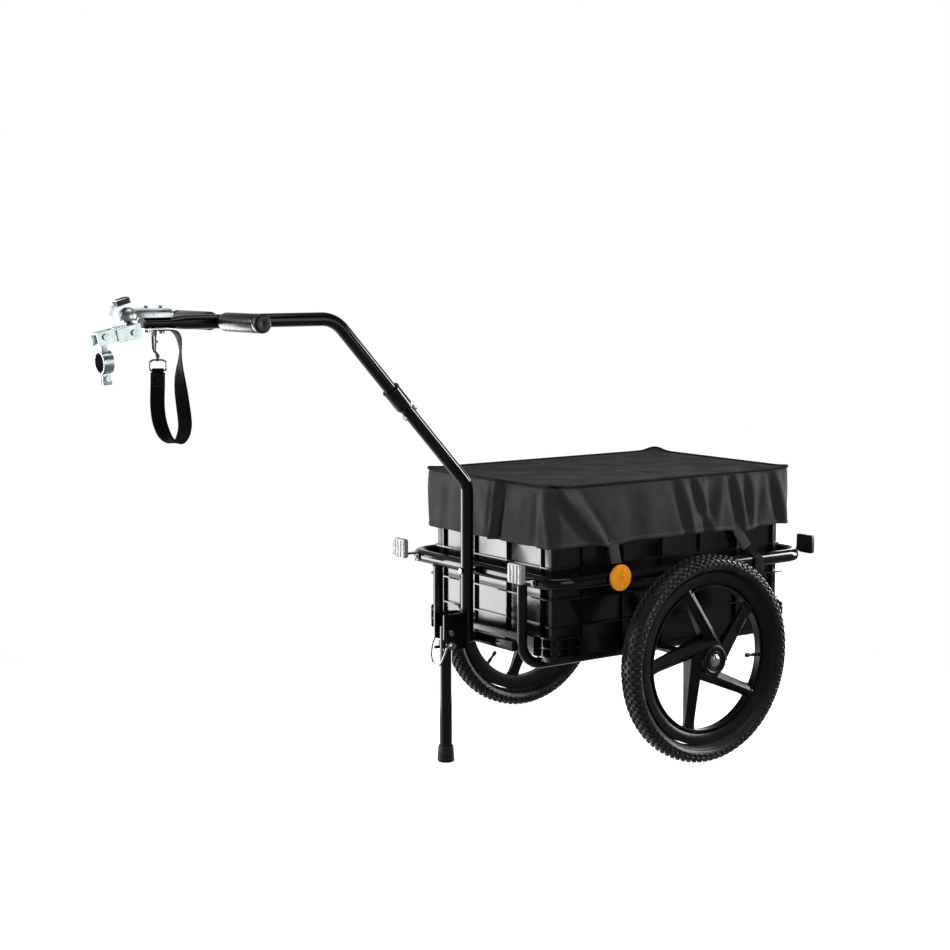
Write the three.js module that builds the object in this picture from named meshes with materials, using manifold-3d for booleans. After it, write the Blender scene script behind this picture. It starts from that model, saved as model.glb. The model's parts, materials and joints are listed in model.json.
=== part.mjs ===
// Cargo bike trailer: a lift-out crate in a tube frame on two 16-inch wheels, with a goose-neck drawbar.
// Millimetres. +X points forward to the bicycle, +Y to the left, +Z up; the origin is the middle of the
// footprint on the ground. Pieces are placed from the axle, and the whole is shifted at the end.

import * as THREE from "three";
import { mergeVertices } from "three/addons/utils/BufferGeometryUtils.js";
import Module from "manifold-3d";

const wasm = await Module();
wasm.setup();

// General sizes
const fitGap = 0.3; // clearance between pieces that touch
const cutOverrun = 5; // how far a cutting body runs past the face it cuts
const weldDistance = 0.001; // vertices closer than this are one vertex
const smallSides = 8; // sides of a bolt, a pin or a small tube
const tubeSides = 12; // sides of a frame tube
const roundSides = 16; // sides of a cap, a grip or a dome
const wheelSegments = 24; // segments round a wheel
const bendDegrees = 18; // turn of one step in a tube's bend

// Wheels
const wheelRadius = 203;
const wheelOffset = 293; // wheel's centre plane from the trailer's middle
const tyreWidth = 46.5;
const beadWall = 2;
const tyreHeight = 35.2; // the tyre stands this far over the rim's flanges
const rimRadius = wheelRadius - tyreHeight;
const rimWidth = 21.2;
const rimFlange = 2.6;
const rimSeatDrop = 10.8; // the seat for the tyre's beads, below the flanges
const rimSeatRadius = rimRadius - rimSeatDrop;
const rimSeatWidth = 13;
const rimWall = 8;
const rimChannelOuter = rimSeatRadius - rimWall;
const rimChannelDepth = 7;
const rimChannelInner = rimChannelOuter - rimChannelDepth;
const rimChannelFloor = 1; // floor of the open channel, behind the centre plane
const rimBarrelWall = 3;
const rimBarrelRadius = rimChannelInner - rimBarrelWall;
const rimBarrelWidth = 16;
const hubRadius = 27;
const hubWidth = 56;
const hubChamfer = 2;
const bearingRadius = 15.7;
const bearingInset = 1.5; // bearing's end behind the hub's face
const spokeCount = 5;
const spokeOffset = 28; // a spoke's middle line passes the wheel's centre at this distance
const spokeRootHalf = 15;
const spokeTipHalf = 11.5;
const spokeRootBack = 20; // depth of a spoke behind the centre plane
const spokeTipBack = 7;
const spokeRootRidge = 25; // height of a spoke's ridge in front of the centre plane
const spokeTipRidge = 7;
const spokeRootEdge = 9; // height of its two long edges
const spokeTipEdge = -1;
const spokeRootRun = 20; // how far a spoke runs on past the point nearest the centre
const spokeTipSink = 5.5; // how far a spoke's tip runs into the rim
const spokeTipRadius = rimChannelInner + spokeTipSink;
const valveRadius = 3.6;
const valveReach = 33; // how far the valve stands inwards out of the rim
const valveTipRadius = rimBarrelRadius - valveReach;
const valveCapLength = 10;
const valveCapRadius = 4.4;
const innerTubeShare = 0.3267; // half thickness of the inner tube, of the tyre's height
const innerTubeRadius = tyreHeight * innerTubeShare;
const innerTubeSides = 6;
const tyreOuterShares = [[0.02, 0.34], [0.22, 0.86], [0.5, 1], [0.8, 0.82], [0.97, 0.38], [1, 0]];
const tyreInnerShares = [[0.9, 0], [0.74, 0.64], [0.32, 0.76], [0.1, 0.3]];
const leftWheelDegrees = 0; // how far each wheel is turned from the spoke pattern's own angle
const rightWheelDegrees = 44;
const firstSpokeDegrees = -2.4;
const valveDegrees = 184;

// Axle
const axleRadius = 8;
const axleCollarRadius = 12;
const axleCollarLength = 4;
const axleBoltRadius = 4;
const axleBoltLength = 24;
const axleHeadRadius = 10;
const axleHeadHeight = 5;
const axleSlotWidth = 2.4;
const axleSlotDepth = 2;

// Frame
const railRadius = 12.5; // the ring rail round the crate
const railHeight = 371;
const railFront = 329;
const railRear = -322;
const railHalfWidth = 239;
const railBend = 50;
const loopRadius = 10; // the two loops under the crate
const loopOffset = 139;
const loopBend = 46;
const crossmemberSize = 20;
const crossmemberHeight = 240;

// Crate
const crateCentre = 2;
const crateLength = 600;
const crateWidth = 400;
const crateTop = 545;
const crateCorner = 17;
const crateWall = 3;
const crateFloorThickness = 4;
const ribDepth = 6; // how far the ribs stand out of the wall
const ribThickness = 2.6;
const rimBandHeight = 45;
const crateLipOut = 4;
const crateLipHeight = 4;
const wideRibOut = 9; // the long flange and the feet stand out this far past the ribs
const bottomBandHeight = 9;
const narrowRibHeights = [391, 279];
const wideRibHeight = 333;
const sideRibSpacing = 100;
const sideRibFirst = 229; // foremost side rib from the crate's middle
const sideRibCount = 6;
const endRibPlaces = [-160, -53, 53, 160];
const footLength = 60;
const footWidth = 49;
const footShelfHeights = [223, 240.5, 259];
const footFinTop = 280;
const footSideRibs = [32, 58]; // ribs of a foot from the crate's corner, along its side
const footEndRibs = [22, 47];
const recessTop = 253; // the ends are set back between the feet up to here, clear of the frame's bends
const recessPlace = 280; // how far from the crate's middle the set-back ends stand

// Cover
const coverThickness = 1.8;
const coverTop = 547.4;
const coverHem = 435;
const coverEase = 1.6; // clearance of the cover round the crate's lip
const coverCorner = 22;
const coverSag = 6;
const coverCornerSteps = 4;
const coverSideSteps = 11; // steps along each long side
const coverEndSteps = 8;
const coverHemDraw = 1; // how far the elastic hem is drawn in
const foldDepth = 5;
const foldWidth = 34;
const foldFullest = 0.85; // share of the skirt's drop where a fold stands out most
const foldSwell = 0.6 * Math.PI; // how fast a fold rises from the top edge
// a fold's place round the cover as a share of its girth, its lean, and its height as a share of foldDepth
const foldShares = [
  [0.04, 0.012, 0.7], [0.105, -0.014, 0.9], [0.17, 0.02, 1], [0.225, 0.016, 0.8], [0.285, -0.02, 1],
  [0.33, 0.012, 0.6], [0.43, 0.022, 1], [0.475, -0.018, 0.9], [0.56, 0.014, 0.7], [0.62, -0.012, 0.9],
  [0.69, 0.016, 0.8], [0.755, -0.014, 1], [0.83, 0.01, 0.7], [0.92, -0.02, 0.9], [0.965, 0.018, 1],
];
// rings of the top sheet, as shares of the way from the middle to the edge
const topRingShares = [0.45, 0.9];
const skirtShares = [0.12, 0.4, 0.7, 1]; // rings of the skirt, as shares of its drop
const strapWidth = 25;
const strapThickness = 1.8;
const strapPlaces = [165, -178];
const strapTabFoot = 392;
const strapTailFoot = 348;

// Drawbar
const barRadius = 12.5;
const barFoot = 232;
const barBack = 357.3; // the lower drawbar's upright from the axle
const barKnee = 539;
const barShoulder = [654, 862]; // where the slanting and level stretches meet
const barKneeBend = 45;
const barShoulderBend = 60;
const sleeveTop = [532.6, 729.4];
const sleeveLength = 44;
const sleeveRadius = 16.4;
const sleeveBore = 12.8;
const sleeveTaper = 9;
const spigotRadius = 9.5;
const spigotLength = 52; // how far the thinner end of the upper tube reaches on into the lower one
const sleeveBoltDrop = 19; // the through bolt below the sleeve's lower end
const barFlatStart = 950; // the level stretch is flattened from here to its end
const barTip = 1036;
const barTipRake = 4; // how far the tip's upper edge leans forward
const barFlatHeight = 18;
const barFlatWidth = 33;
const boltRadius = 3;
const boltBore = boltRadius + fitGap;
const boltHeadRadius = 6;
const boltHeadHeight = 4;
const handlePlace = 890;
const handleHalf = 157;
const handleRadius = 9.5;
const gripRadius = 16.5;
const gripLength = 135;
const gripInset = 3.5; // from the handle's end to the grip's end
const gripRounding = 4;
const plugBore = 3;

// Stand
const standPlace = 408;
const standPivotHeight = 255.5;
const standPinHeight = 231.5;
const standLegRadius = 12;
const standLegTop = 268;
const standFootRadius = 16.5;
const standFootHeight = 32;
const standFootSole = 8;
const standFootTaper = 2.5;
const standBossRadius = 7;
const bracketTop = 292;
const bracketFoot = 221.5;
const bracketPlate = 3;
const bracketInner = 14; // half the space between the bracket's plates
const bracketNose = 16; // the plates run this far in front of the pivot
const bracketBoltHeight = 281;
const pinRadius = 4;
const pinEnd = 7; // how far the lock pin stands out of the plates
const pinHeadRadius = 6;
const pinHeadLength = 2.5;
const pinNotchRise = 2.4; // room over the pin in its slot
const pinNotchFlare = 7.5; // and at the slot's open end, where the pin swings up and out
const bailRadius = 1.5;
const bailPlace = 427; // the bail hangs in front of the leg
const bailFoot = 192;
const bailEnd = -21;
const bailEndHeight = 224;
const bailBend = 9;

// Reflectors
const reflectorWidth = 44;
const reflectorHeight = 38;
const reflectorDepth = 10;
const reflectorCorner = 5;
const reflectorSpread = 193;
const reflectorReach = 48.5; // a front reflector's face, in front of the rail
const reflectorFace = railFront + railRadius + reflectorReach;
const reflectorRise = 22; // a front reflector's middle, above the rail's
const rearReflectorReach = 43.5;
const rearReflectorFace = railRear - railRadius - rearReflectorReach;
const rearReflectorRise = 11;
const reflectorArmWidth = 14;
const reflectorArmThickness = 3;
const reflectorSaddle = 9;
const sideReflectorPlace = 188;
const sideReflectorRadius = 25;
const sideReflectorDepth = 8;
const sideReflectorRise = 4; // above the rail's middle
const sideReflectorStub = 8; // radius of the stub that holds a side reflector off the rail

// Coupling, measured from the ball
const ballPlace = 1062;
const ballRise = 11; // the ball's middle above the drawbar's level stretch
const ballHeight = barShoulder[1] + ballRise;
const ballRadius = 11;
const socketRadius = 16.5;
const socketPlay = 0.9;
const socketOpening = 6; // the socket ends this far below the ball's middle
const stemRadius = 5.5;
const stemCollarRadius = 8;
const stemCollar = 1.5; // thickness of the collar on the stem
const stemNut = 5;
const headRear = 984;
const headFront = 1050;
const headHalfWidth = 15;
const headShoulder = 16; // the head narrows over this length in front
const headNose = 9; // and slopes up over this length behind
const headThickness = 15.7; // height of the head over the flattened bar
const headTop = barShoulder[1] + barFlatHeight / 2 + fitGap + headThickness;
const neckHalfWidth = 9;
const headBoltPlaces = [1000, 1027];
const bracketTiltDegrees = 11.7;
const channelTop = -13.2;
const channelHeight = 22;
const channelHalfWidth = 14;
const channelWall = 2.5;
const channelRear = -11;
const channelFront = 67;
const saddleFront = 32;
const saddleRear = -13;
const saddleWall = 2;
const saddleTopFront = -16;
const saddleTopRear = -12.5;
const saddleFoot = -37.6;
const saddleBolt = [1, -27];
const clampPivot = [52.6, -22.4];
const clampTiltDegrees = 4.5; // the clamp hangs nearly plumb
const clampDrop = 43; // from the pivot down to the middle of the clamp's bore
const clampRadius = 20;
const clampLinerWall = 2.2;
const clampBore = 15.2;
const clampLength = 19;
const clampSlit = 4;
const clampEarDepth = 38; // from the bore's middle to the ears' lower end
const clampEarWidth = 17;
const clampEarThickness = 4.5;
const clampBoltDrop = 27.5;
const clampNeckHalf = 8.5;
const clampNeckLength = 12;
const leverRadius = 28;
const leverThickness = 3;
const leverWidth = 13;
const leverFootDegrees = -28;
const leverPivot = [33, -20.5];
const leverPinRadius = 2.5;
const leverTongue = [23.5, 34.5, -22.5, -13]; // the tongue's rear, front, foot and top
const leverSlot = [22, 41]; // the slot in the bracket for the tongue
const leverTopDegrees = 58;
const leverTipLength = 27;
const leverTipHeight = 11;

// Tether
const tetherWidth = 25;
const tetherThickness = 2;
const eyePlace = 1008;
const eyeRadius = 5;
const eyeWire = 1.8;
const anchorThickness = 2.4;
const anchorFront = 1034;
const anchorRear = 996;
const ringWire = 1.7;
const ringHalfWidth = 14;
const ringPlace = [1007.5, 780.5]; // the ring's bar, along the trailer and up
const ringDrop = 18;
const hookRadius = 3.4;

const degrees = THREE.MathUtils.degToRad;
const at = (x, y, z) => new THREE.Vector3(x, y, z);
const alongX = at(1, 0, 0);
const alongY = at(0, 1, 0);
const alongZ = at(0, 0, 1);

// Finishes
function finish(color, roughness, metalness = 0) {
  return new THREE.MeshStandardMaterial({ color, roughness, metalness });
}
const blackPaint = finish(0x141414, 0.3, 0.2);
const blackPlastic = finish(0x101010, 0.35);
const crateBlack = finish(0x0b0b0c, 0.2);
const tyreRubber = finish(0x2a2a2a, 0.85);
const blackRubber = finish(0x1c1c1c, 0.8);
const gripFoam = finish(0x232323, 0.75);
const nylon = finish(0x3b3a3a, 0.85);
const webbing = finish(0x2c2c2c, 0.9);
const zinc = finish(0xc9ccd0, 0.35, 0.9);
const steel = finish(0xb4b6b8, 0.3, 0.9);
const whiteLens = finish(0xe8e8e8, 0.2);
const amberLens = finish(0xe8a01c, 0.2);
const redLens = finish(0x8f1018, 0.2);

// Closed solids from three.js geometry

// A geometry as a solid, with its faces turned outwards.
function solid(geometry) {
  const bare = new THREE.BufferGeometry();
  bare.setAttribute("position", geometry.getAttribute("position"));
  bare.setIndex(geometry.index);
  const merged = mergeVertices(bare, weldDistance);
  const corners = new Uint32Array(merged.index.array);
  const build = () =>
    new wasm.Manifold(
      new wasm.Mesh({ numProp: 3, vertProperties: merged.attributes.position.array, triVerts: corners }),
    );
  const made = build();
  if (made.volume() >= 0) return made;
  for (let i = 0; i < corners.length; i += 3) {
    [corners[i + 1], corners[i + 2]] = [corners[i + 2], corners[i + 1]];
  }
  return build();
}

function join(first, ...others) {
  return others.reduce((whole, other) => whole.add(other), first);
}

function cut(body, ...tools) {
  return tools.reduce((whole, tool) => whole.subtract(tool), body);
}

// Puts a named piece into the scene.
function place(parent, name, body, material) {
  const { vertProperties, triVerts, numVert, numProp } = body.asOriginal().simplify(weldDistance).getMesh();
  const positions = new Float32Array(numVert * 3);
  for (let i = 0; i < numVert; i++) {
    positions.set(vertProperties.subarray(i * numProp, i * numProp + 3), i * 3);
  }
  const geometry = new THREE.BufferGeometry();
  geometry.setAttribute("position", new THREE.BufferAttribute(positions, 3));
  geometry.setIndex(new THREE.BufferAttribute(triVerts, 1));
  const shaded = geometry.toNonIndexed();
  shaded.computeVertexNormals();
  const mesh = new THREE.Mesh(shaded, material);
  mesh.name = name;
  parent.add(mesh);
  return mesh;
}

function slab(x0, x1, y0, y1, z0, z1) {
  const box = new THREE.BoxGeometry(x1 - x0, y1 - y0, z1 - z0);
  box.translate((x0 + x1) / 2, (y0 + y1) / 2, (z0 + z1) / 2);
  return solid(box);
}

// A straight round bar between two points.
function rod(from, to, radius, sides = smallSides, endRadius = radius) {
  const bar = new THREE.CylinderGeometry(endRadius, radius, from.distanceTo(to), sides);
  const direction = to.clone().sub(from).normalize();
  bar.applyQuaternion(new THREE.Quaternion().setFromUnitVectors(alongY, direction));
  const middle = from.clone().add(to).divideScalar(2);
  bar.translate(middle.x, middle.y, middle.z);
  return solid(bar);
}

// A round bar across the trailer, at a place along and a height.
function crosswise(x, z, half, radius, sides = smallSides) {
  return rod(at(x, -half, z), at(x, half, z), radius, sides);
}

// An upright round tool that cuts from one height to another.
function upright(x, z0, z1, radius, sides = smallSides) {
  return rod(at(x, 0, z0 - cutOverrun), at(x, 0, z1 + cutOverrun), radius, sides);
}

// A body of revolution: the profile's points are [radius, place along the axis].
function turned(profile, origin, axis, segments = roundSides) {
  const points = profile.map(([radius, along]) => new THREE.Vector2(radius, along));
  const body = new THREE.LatheGeometry(points, segments);
  body.applyQuaternion(new THREE.Quaternion().setFromUnitVectors(alongY, axis));
  body.translate(origin.x, origin.y, origin.z);
  return solid(body);
}

function closedProfile(points) {
  return [...points, points[0]];
}

// A rounded rectangle in the XY plane.
function roundedOutline(halfX, halfY, radius) {
  const shape = new THREE.Shape();
  shape.moveTo(halfX, -halfY + radius);
  shape.lineTo(halfX, halfY - radius);
  shape.absarc(halfX - radius, halfY - radius, radius, 0, Math.PI / 2);
  shape.lineTo(-halfX + radius, halfY);
  shape.absarc(-halfX + radius, halfY - radius, radius, Math.PI / 2, Math.PI);
  shape.lineTo(-halfX, -halfY + radius);
  shape.absarc(-halfX + radius, -halfY + radius, radius, Math.PI, (3 * Math.PI) / 2);
  shape.lineTo(halfX - radius, -halfY);
  shape.absarc(halfX - radius, -halfY + radius, radius, (3 * Math.PI) / 2, 2 * Math.PI);
  return shape;
}

function extruded(shape, depth, curveSegments = 3) {
  return new THREE.ExtrudeGeometry(shape, { depth, bevelEnabled: false, curveSegments });
}

function roundedSlab(halfX, halfY, radius, z0, z1) {
  const block = extruded(roundedOutline(halfX, halfY, radius), z1 - z0, 2);
  block.translate(0, 0, z0);
  return solid(block);
}

// An outline in the XZ plane, given as [x, z] points, thickened along Y between two places.
function plate(outline, y0, y1) {
  const shape = new THREE.Shape(outline.map(([x, z]) => new THREE.Vector2(x, z)));
  const block = extruded(shape, y1 - y0);
  block.rotateX(Math.PI / 2);
  block.translate(0, y1, 0);
  return solid(block);
}

// A route of straight stretches joined by round bends, which meets a tube section only at its stations.
class Route extends THREE.Curve {
  constructor(corners, bends, closed = false) {
    super();
    this.stations = [];
    const count = corners.length;
    const last = closed ? count : count - 1;
    if (!closed) this.add(corners[0], corners[1].clone().sub(corners[0]));
    for (let i = closed ? 0 : 1; i < last; i++) {
      const here = corners[i];
      const before = here.clone().sub(corners[(i + count - 1) % count]).normalize();
      const after = corners[(i + 1) % count].clone().sub(here).normalize();
      const turn = before.angleTo(after);
      const bend = Array.isArray(bends) ? bends[i] : bends;
      const reach = bend * Math.tan(turn / 2);
      const inward = after.clone().sub(before).normalize();
      const centre = here.clone().add(inward.multiplyScalar(bend / Math.cos(turn / 2)));
      const start = here.clone().sub(before.clone().multiplyScalar(reach));
      const axis = before.clone().cross(after).normalize();
      const steps = Math.max(1, Math.ceil(THREE.MathUtils.radToDeg(turn) / bendDegrees));
      for (let k = 0; k <= steps; k++) {
        const swing = new THREE.Quaternion().setFromAxisAngle(axis, (turn * k) / steps);
        const point = start.clone().sub(centre).applyQuaternion(swing).add(centre);
        this.add(point, before.clone().applyQuaternion(swing));
      }
    }
    if (!closed) this.add(corners[count - 1], corners[count - 1].clone().sub(corners[count - 2]));
    this.closed = closed;
    if (closed) this.stations.push(this.stations[0]);
    this.steps = this.stations.length - 1;
  }
  add(point, tangent) {
    this.stations.push({ point: point.clone(), tangent: tangent.clone().normalize() });
  }
  station(share) {
    return this.stations[Math.round(share * this.steps)];
  }
  getPoint(share, target = new THREE.Vector3()) {
    return target.copy(this.station(share).point);
  }
  getPointAt(share, target) {
    return this.getPoint(share, target);
  }
  getTangent(share, target = new THREE.Vector3()) {
    return target.copy(this.station(share).tangent);
  }
  getTangentAt(share, target) {
    return this.getTangent(share, target);
  }
}

// A round tube along a route. A closed ring has no ends, so it is the one use of TubeGeometry.
function pipe(corners, bends, radius, sides = tubeSides, closed = false) {
  const route = new Route(corners, bends, closed);
  if (closed) return solid(new THREE.TubeGeometry(route, route.steps, radius, sides, true));
  const section = new THREE.Shape();
  for (let i = 0; i < sides; i++) {
    const angle = (2 * Math.PI * i) / sides;
    const [x, y] = [radius * Math.cos(angle), radius * Math.sin(angle)];
    if (i === 0) section.moveTo(x, y);
    else section.lineTo(x, y);
  }
  return solid(new THREE.ExtrudeGeometry(section, { extrudePath: route, steps: route.steps }));
}

// A closed skin over rings of points, all of one count, with its first and last ring filled.
function loft(rings) {
  const positions = [];
  const triangle = (a, b, c) => positions.push(...a.toArray(), ...b.toArray(), ...c.toArray());
  const count = rings[0].length;
  for (let i = 0; i + 1 < rings.length; i++) {
    for (let j = 0; j < count; j++) {
      const next = (j + 1) % count;
      triangle(rings[i][j], rings[i + 1][j], rings[i + 1][next]);
      triangle(rings[i][j], rings[i + 1][next], rings[i][next]);
    }
  }
  for (const [ring, flip] of [[rings[0], false], [rings[rings.length - 1], true]]) {
    for (let j = 1; j + 1 < count; j++) {
      if (flip) triangle(ring[0], ring[j + 1], ring[j]);
      else triangle(ring[0], ring[j], ring[j + 1]);
    }
  }
  const skin = new THREE.BufferGeometry();
  skin.setAttribute("position", new THREE.Float32BufferAttribute(positions, 3));
  return solid(skin);
}

// A bolt with a hexagon head at its start and a nut at its end.
function bolt(from, to, radius = boltRadius, headRadius = boltHeadRadius, nut = true) {
  const direction = to.clone().sub(from).normalize();
  const headEnd = from.clone().sub(direction.clone().multiplyScalar(boltHeadHeight));
  const pieces = [rod(headEnd, to, radius), rod(headEnd, from, headRadius, 6)];
  if (nut) {
    const nutStart = to.clone().sub(direction.clone().multiplyScalar(boltHeadHeight + fitGap));
    pieces.push(rod(nutStart, to, headRadius, 6));
  }
  return join(...pieces);
}

const trailer = new THREE.Group();

// Wheels, built round their own centre with the axle along Y and the outer face towards +Y

const beadHalf = rimSeatWidth / 2 - fitGap;

function tyreProfile() {
  const outer = tyreOuterShares.map(([r, w]) => [rimRadius + tyreHeight * r, (tyreWidth / 2) * w]);
  const inner = tyreInnerShares.map(([r, w]) => [rimRadius + tyreHeight * r, (tyreWidth / 2) * w]);
  const bead = rimSeatRadius + fitGap;
  const half = [[bead, beadHalf], ...outer];
  const otherHalf = half.slice(0, -1).reverse().map(([r, w]) => [r, -w]);
  const lining = [...inner.slice(1).reverse().map(([r, w]) => [r, -w]), ...inner];
  return closedProfile([
    ...half, ...otherHalf, [bead, -beadHalf + beadWall], ...lining, [bead, beadHalf - beadWall],
  ]);
}

function rimProfile() {
  const face = rimWidth / 2;
  const seat = rimSeatWidth / 2;
  const barrel = rimBarrelWidth / 2;
  return closedProfile([
    [rimBarrelRadius, -barrel], [rimChannelOuter, -face], [rimRadius, -face],
    [rimRadius, -face + rimFlange], [rimSeatRadius, -seat], [rimSeatRadius, seat],
    [rimRadius, face - rimFlange], [rimRadius, face],
    [rimChannelOuter, barrel], [rimChannelOuter, -rimChannelFloor],
    [rimChannelInner, -rimChannelFloor], [rimChannelInner, barrel], [rimBarrelRadius, barrel],
  ]);
}

// One spoke: a tapered bar with a ridge, which runs past the centre on one side and ends in the rim.
function spoke(angle) {
  const reach = Math.sqrt(spokeTipRadius ** 2 - spokeOffset ** 2);
  const footAngle = angle + Math.acos(spokeOffset / spokeTipRadius);
  const side = at(Math.cos(footAngle), 0, Math.sin(footAngle));
  const run = at(Math.sin(footAngle), 0, -Math.cos(footAngle));
  const section = (along, half, back, ridge, edge) =>
    [[-half, -back], [half, -back], [half, edge], [0, ridge], [-half, edge]].map(([across, out]) =>
      run.clone().multiplyScalar(along)
        .add(side.clone().multiplyScalar(spokeOffset + across))
        .add(at(0, out, 0)),
    );
  return loft([
    section(-spokeRootRun, spokeRootHalf, spokeRootBack, spokeRootRidge, spokeRootEdge),
    section(reach, spokeTipHalf, spokeTipBack, spokeTipRidge, spokeTipEdge),
  ]);
}

function radialPoint(angle, radius) {
  return at(radius * Math.cos(angle), 0, radius * Math.sin(angle));
}

function wheelBody() {
  const half = hubWidth / 2;
  const rim = turned(rimProfile(), at(0, 0, 0), alongY, wheelSegments);
  const hub = turned(
    [
      [0, -half], [hubRadius, -half], [hubRadius, half - hubChamfer], [hubRadius - hubChamfer, half],
      [0, half],
    ],
    at(0, 0, 0), alongY,
  );
  const spokes = [];
  for (let i = 0; i < spokeCount; i++) {
    spokes.push(spoke(degrees(firstSpokeDegrees) + (2 * Math.PI * i) / spokeCount));
  }
  const bore = rod(
    at(0, -half - cutOverrun, 0), at(0, half + cutOverrun, 0), bearingRadius + fitGap, roundSides,
  );
  const valve = degrees(valveDegrees);
  const valveHole = rod(
    radialPoint(valve, rimBarrelRadius - cutOverrun), radialPoint(valve, rimSeatRadius + cutOverrun),
    valveRadius + fitGap,
  );
  return cut(join(rim, hub, ...spokes), bore, valveHole);
}

function innerTube() {
  const points = [];
  const middle = rimRadius + tyreHeight * tyreInnerShares[0][0] - fitGap - innerTubeRadius;
  for (let i = 0; i < innerTubeSides; i++) {
    const angle = (2 * Math.PI * i) / innerTubeSides;
    points.push([middle + innerTubeRadius * Math.cos(angle), innerTubeRadius * Math.sin(angle)]);
  }
  const ring = turned(closedProfile(points), at(0, 0, 0), alongY, wheelSegments / 2);
  const valve = degrees(valveDegrees);
  const stem = rod(
    radialPoint(valve, valveTipRadius + valveCapLength + fitGap), radialPoint(valve, middle), valveRadius,
  );
  return join(ring, stem);
}

function bearing() {
  const half = hubWidth / 2 - bearingInset;
  const bore = axleRadius + fitGap;
  return turned(
    closedProfile([[bore, -half], [bearingRadius, -half], [bearingRadius, half], [bore, half]]),
    at(0, 0, 0), alongY,
  );
}

const axleEnd = wheelOffset + hubWidth / 2 - bearingInset - fitGap;

function axleBolt() {
  const start = axleEnd - wheelOffset + 2 * fitGap;
  const shank = rod(at(0, start - axleBoltLength, 0), at(0, start + fitGap, 0), axleBoltRadius);
  const head = rod(at(0, start, 0), at(0, start + axleHeadHeight, 0), axleHeadRadius, roundSides);
  const top = start + axleHeadHeight;
  const slot = slab(
    -axleHeadRadius - cutOverrun, axleHeadRadius + cutOverrun, top - axleSlotDepth, top + cutOverrun,
    -axleSlotWidth / 2, axleSlotWidth / 2,
  );
  return cut(join(shank, head), slot);
}

for (const [side, sign, turn] of [["left", 1, leftWheelDegrees], ["right", -1, rightWheelDegrees]]) {
  const wheel = new THREE.Group();
  wheel.position.set(0, sign * wheelOffset, wheelRadius);
  wheel.rotation.z = sign > 0 ? 0 : Math.PI;
  trailer.add(wheel);
  const spun = new THREE.Group();
  spun.rotation.y = -degrees(turn);
  wheel.add(spun);
  place(spun, `${side}_tyre`, turned(tyreProfile(), at(0, 0, 0), alongY, wheelSegments), tyreRubber);
  place(spun, `${side}_inner_tube`, innerTube(), blackRubber);
  place(spun, `${side}_wheel`, wheelBody(), blackPlastic);
  const valve = degrees(valveDegrees);
  const capEnd = valveTipRadius + valveCapLength;
  const cap = rod(radialPoint(valve, valveTipRadius), radialPoint(valve, capEnd), valveCapRadius);
  place(spun, `${side}_valve_cap`, cap, blackPlastic);
  place(wheel, `${side}_hub_bearing`, bearing(), steel);
  place(wheel, `${side}_axle_bolt`, axleBolt(), steel);
}

// Frame

const railCorners = [
  at(railFront, railHalfWidth, railHeight), at(railRear, railHalfWidth, railHeight),
  at(railRear, -railHalfWidth, railHeight), at(railFront, -railHalfWidth, railHeight),
];
place(trailer, "ring_rail", pipe(railCorners, railBend, railRadius, tubeSides, true), blackPaint);

const loopTop = railHeight - railRadius - fitGap;
const axleBore = rod(
  at(0, -wheelOffset, wheelRadius), at(0, wheelOffset, wheelRadius), axleRadius + fitGap, tubeSides,
);
for (const [side, sign] of [["left", 1], ["right", -1]]) {
  const y = sign * loopOffset;
  const corners = [
    at(railFront, y, loopTop), at(railFront, y, wheelRadius),
    at(railRear, y, wheelRadius), at(railRear, y, loopTop),
  ];
  const loop = cut(pipe(corners, loopBend, loopRadius, smallSides), axleBore);
  place(trailer, `${side}_underframe_loop`, loop, blackPaint);
}

const memberHalf = loopOffset - loopRadius - fitGap;
const memberSide = crossmemberSize / 2;
const memberFront = barBack - barRadius - fitGap;
place(
  trailer, "front_crossmember",
  slab(
    memberFront - crossmemberSize, memberFront, -memberHalf, memberHalf,
    crossmemberHeight - memberSide, crossmemberHeight + memberSide,
  ),
  blackPaint,
);

const collarOuter = wheelOffset - hubWidth / 2 - fitGap;
const collarInner = collarOuter - axleCollarLength;
const boltDepth = axleEnd - axleBoltLength - fitGap;
const axleBoltBore = axleBoltRadius + fitGap;
const axleHalf = [
  [axleRadius, collarInner], [axleCollarRadius, collarInner], [axleCollarRadius, collarOuter],
  [axleRadius, collarOuter], [axleRadius, axleEnd], [axleBoltBore, axleEnd], [axleBoltBore, boltDepth],
  [0, boltDepth],
];
const axleProfile = [...axleHalf.slice().reverse().map(([r, y]) => [r, -y]), ...axleHalf];
place(trailer, "axle_beam", turned(axleProfile, at(0, 0, wheelRadius), alongY, tubeSides), steel);

// Crate

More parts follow.
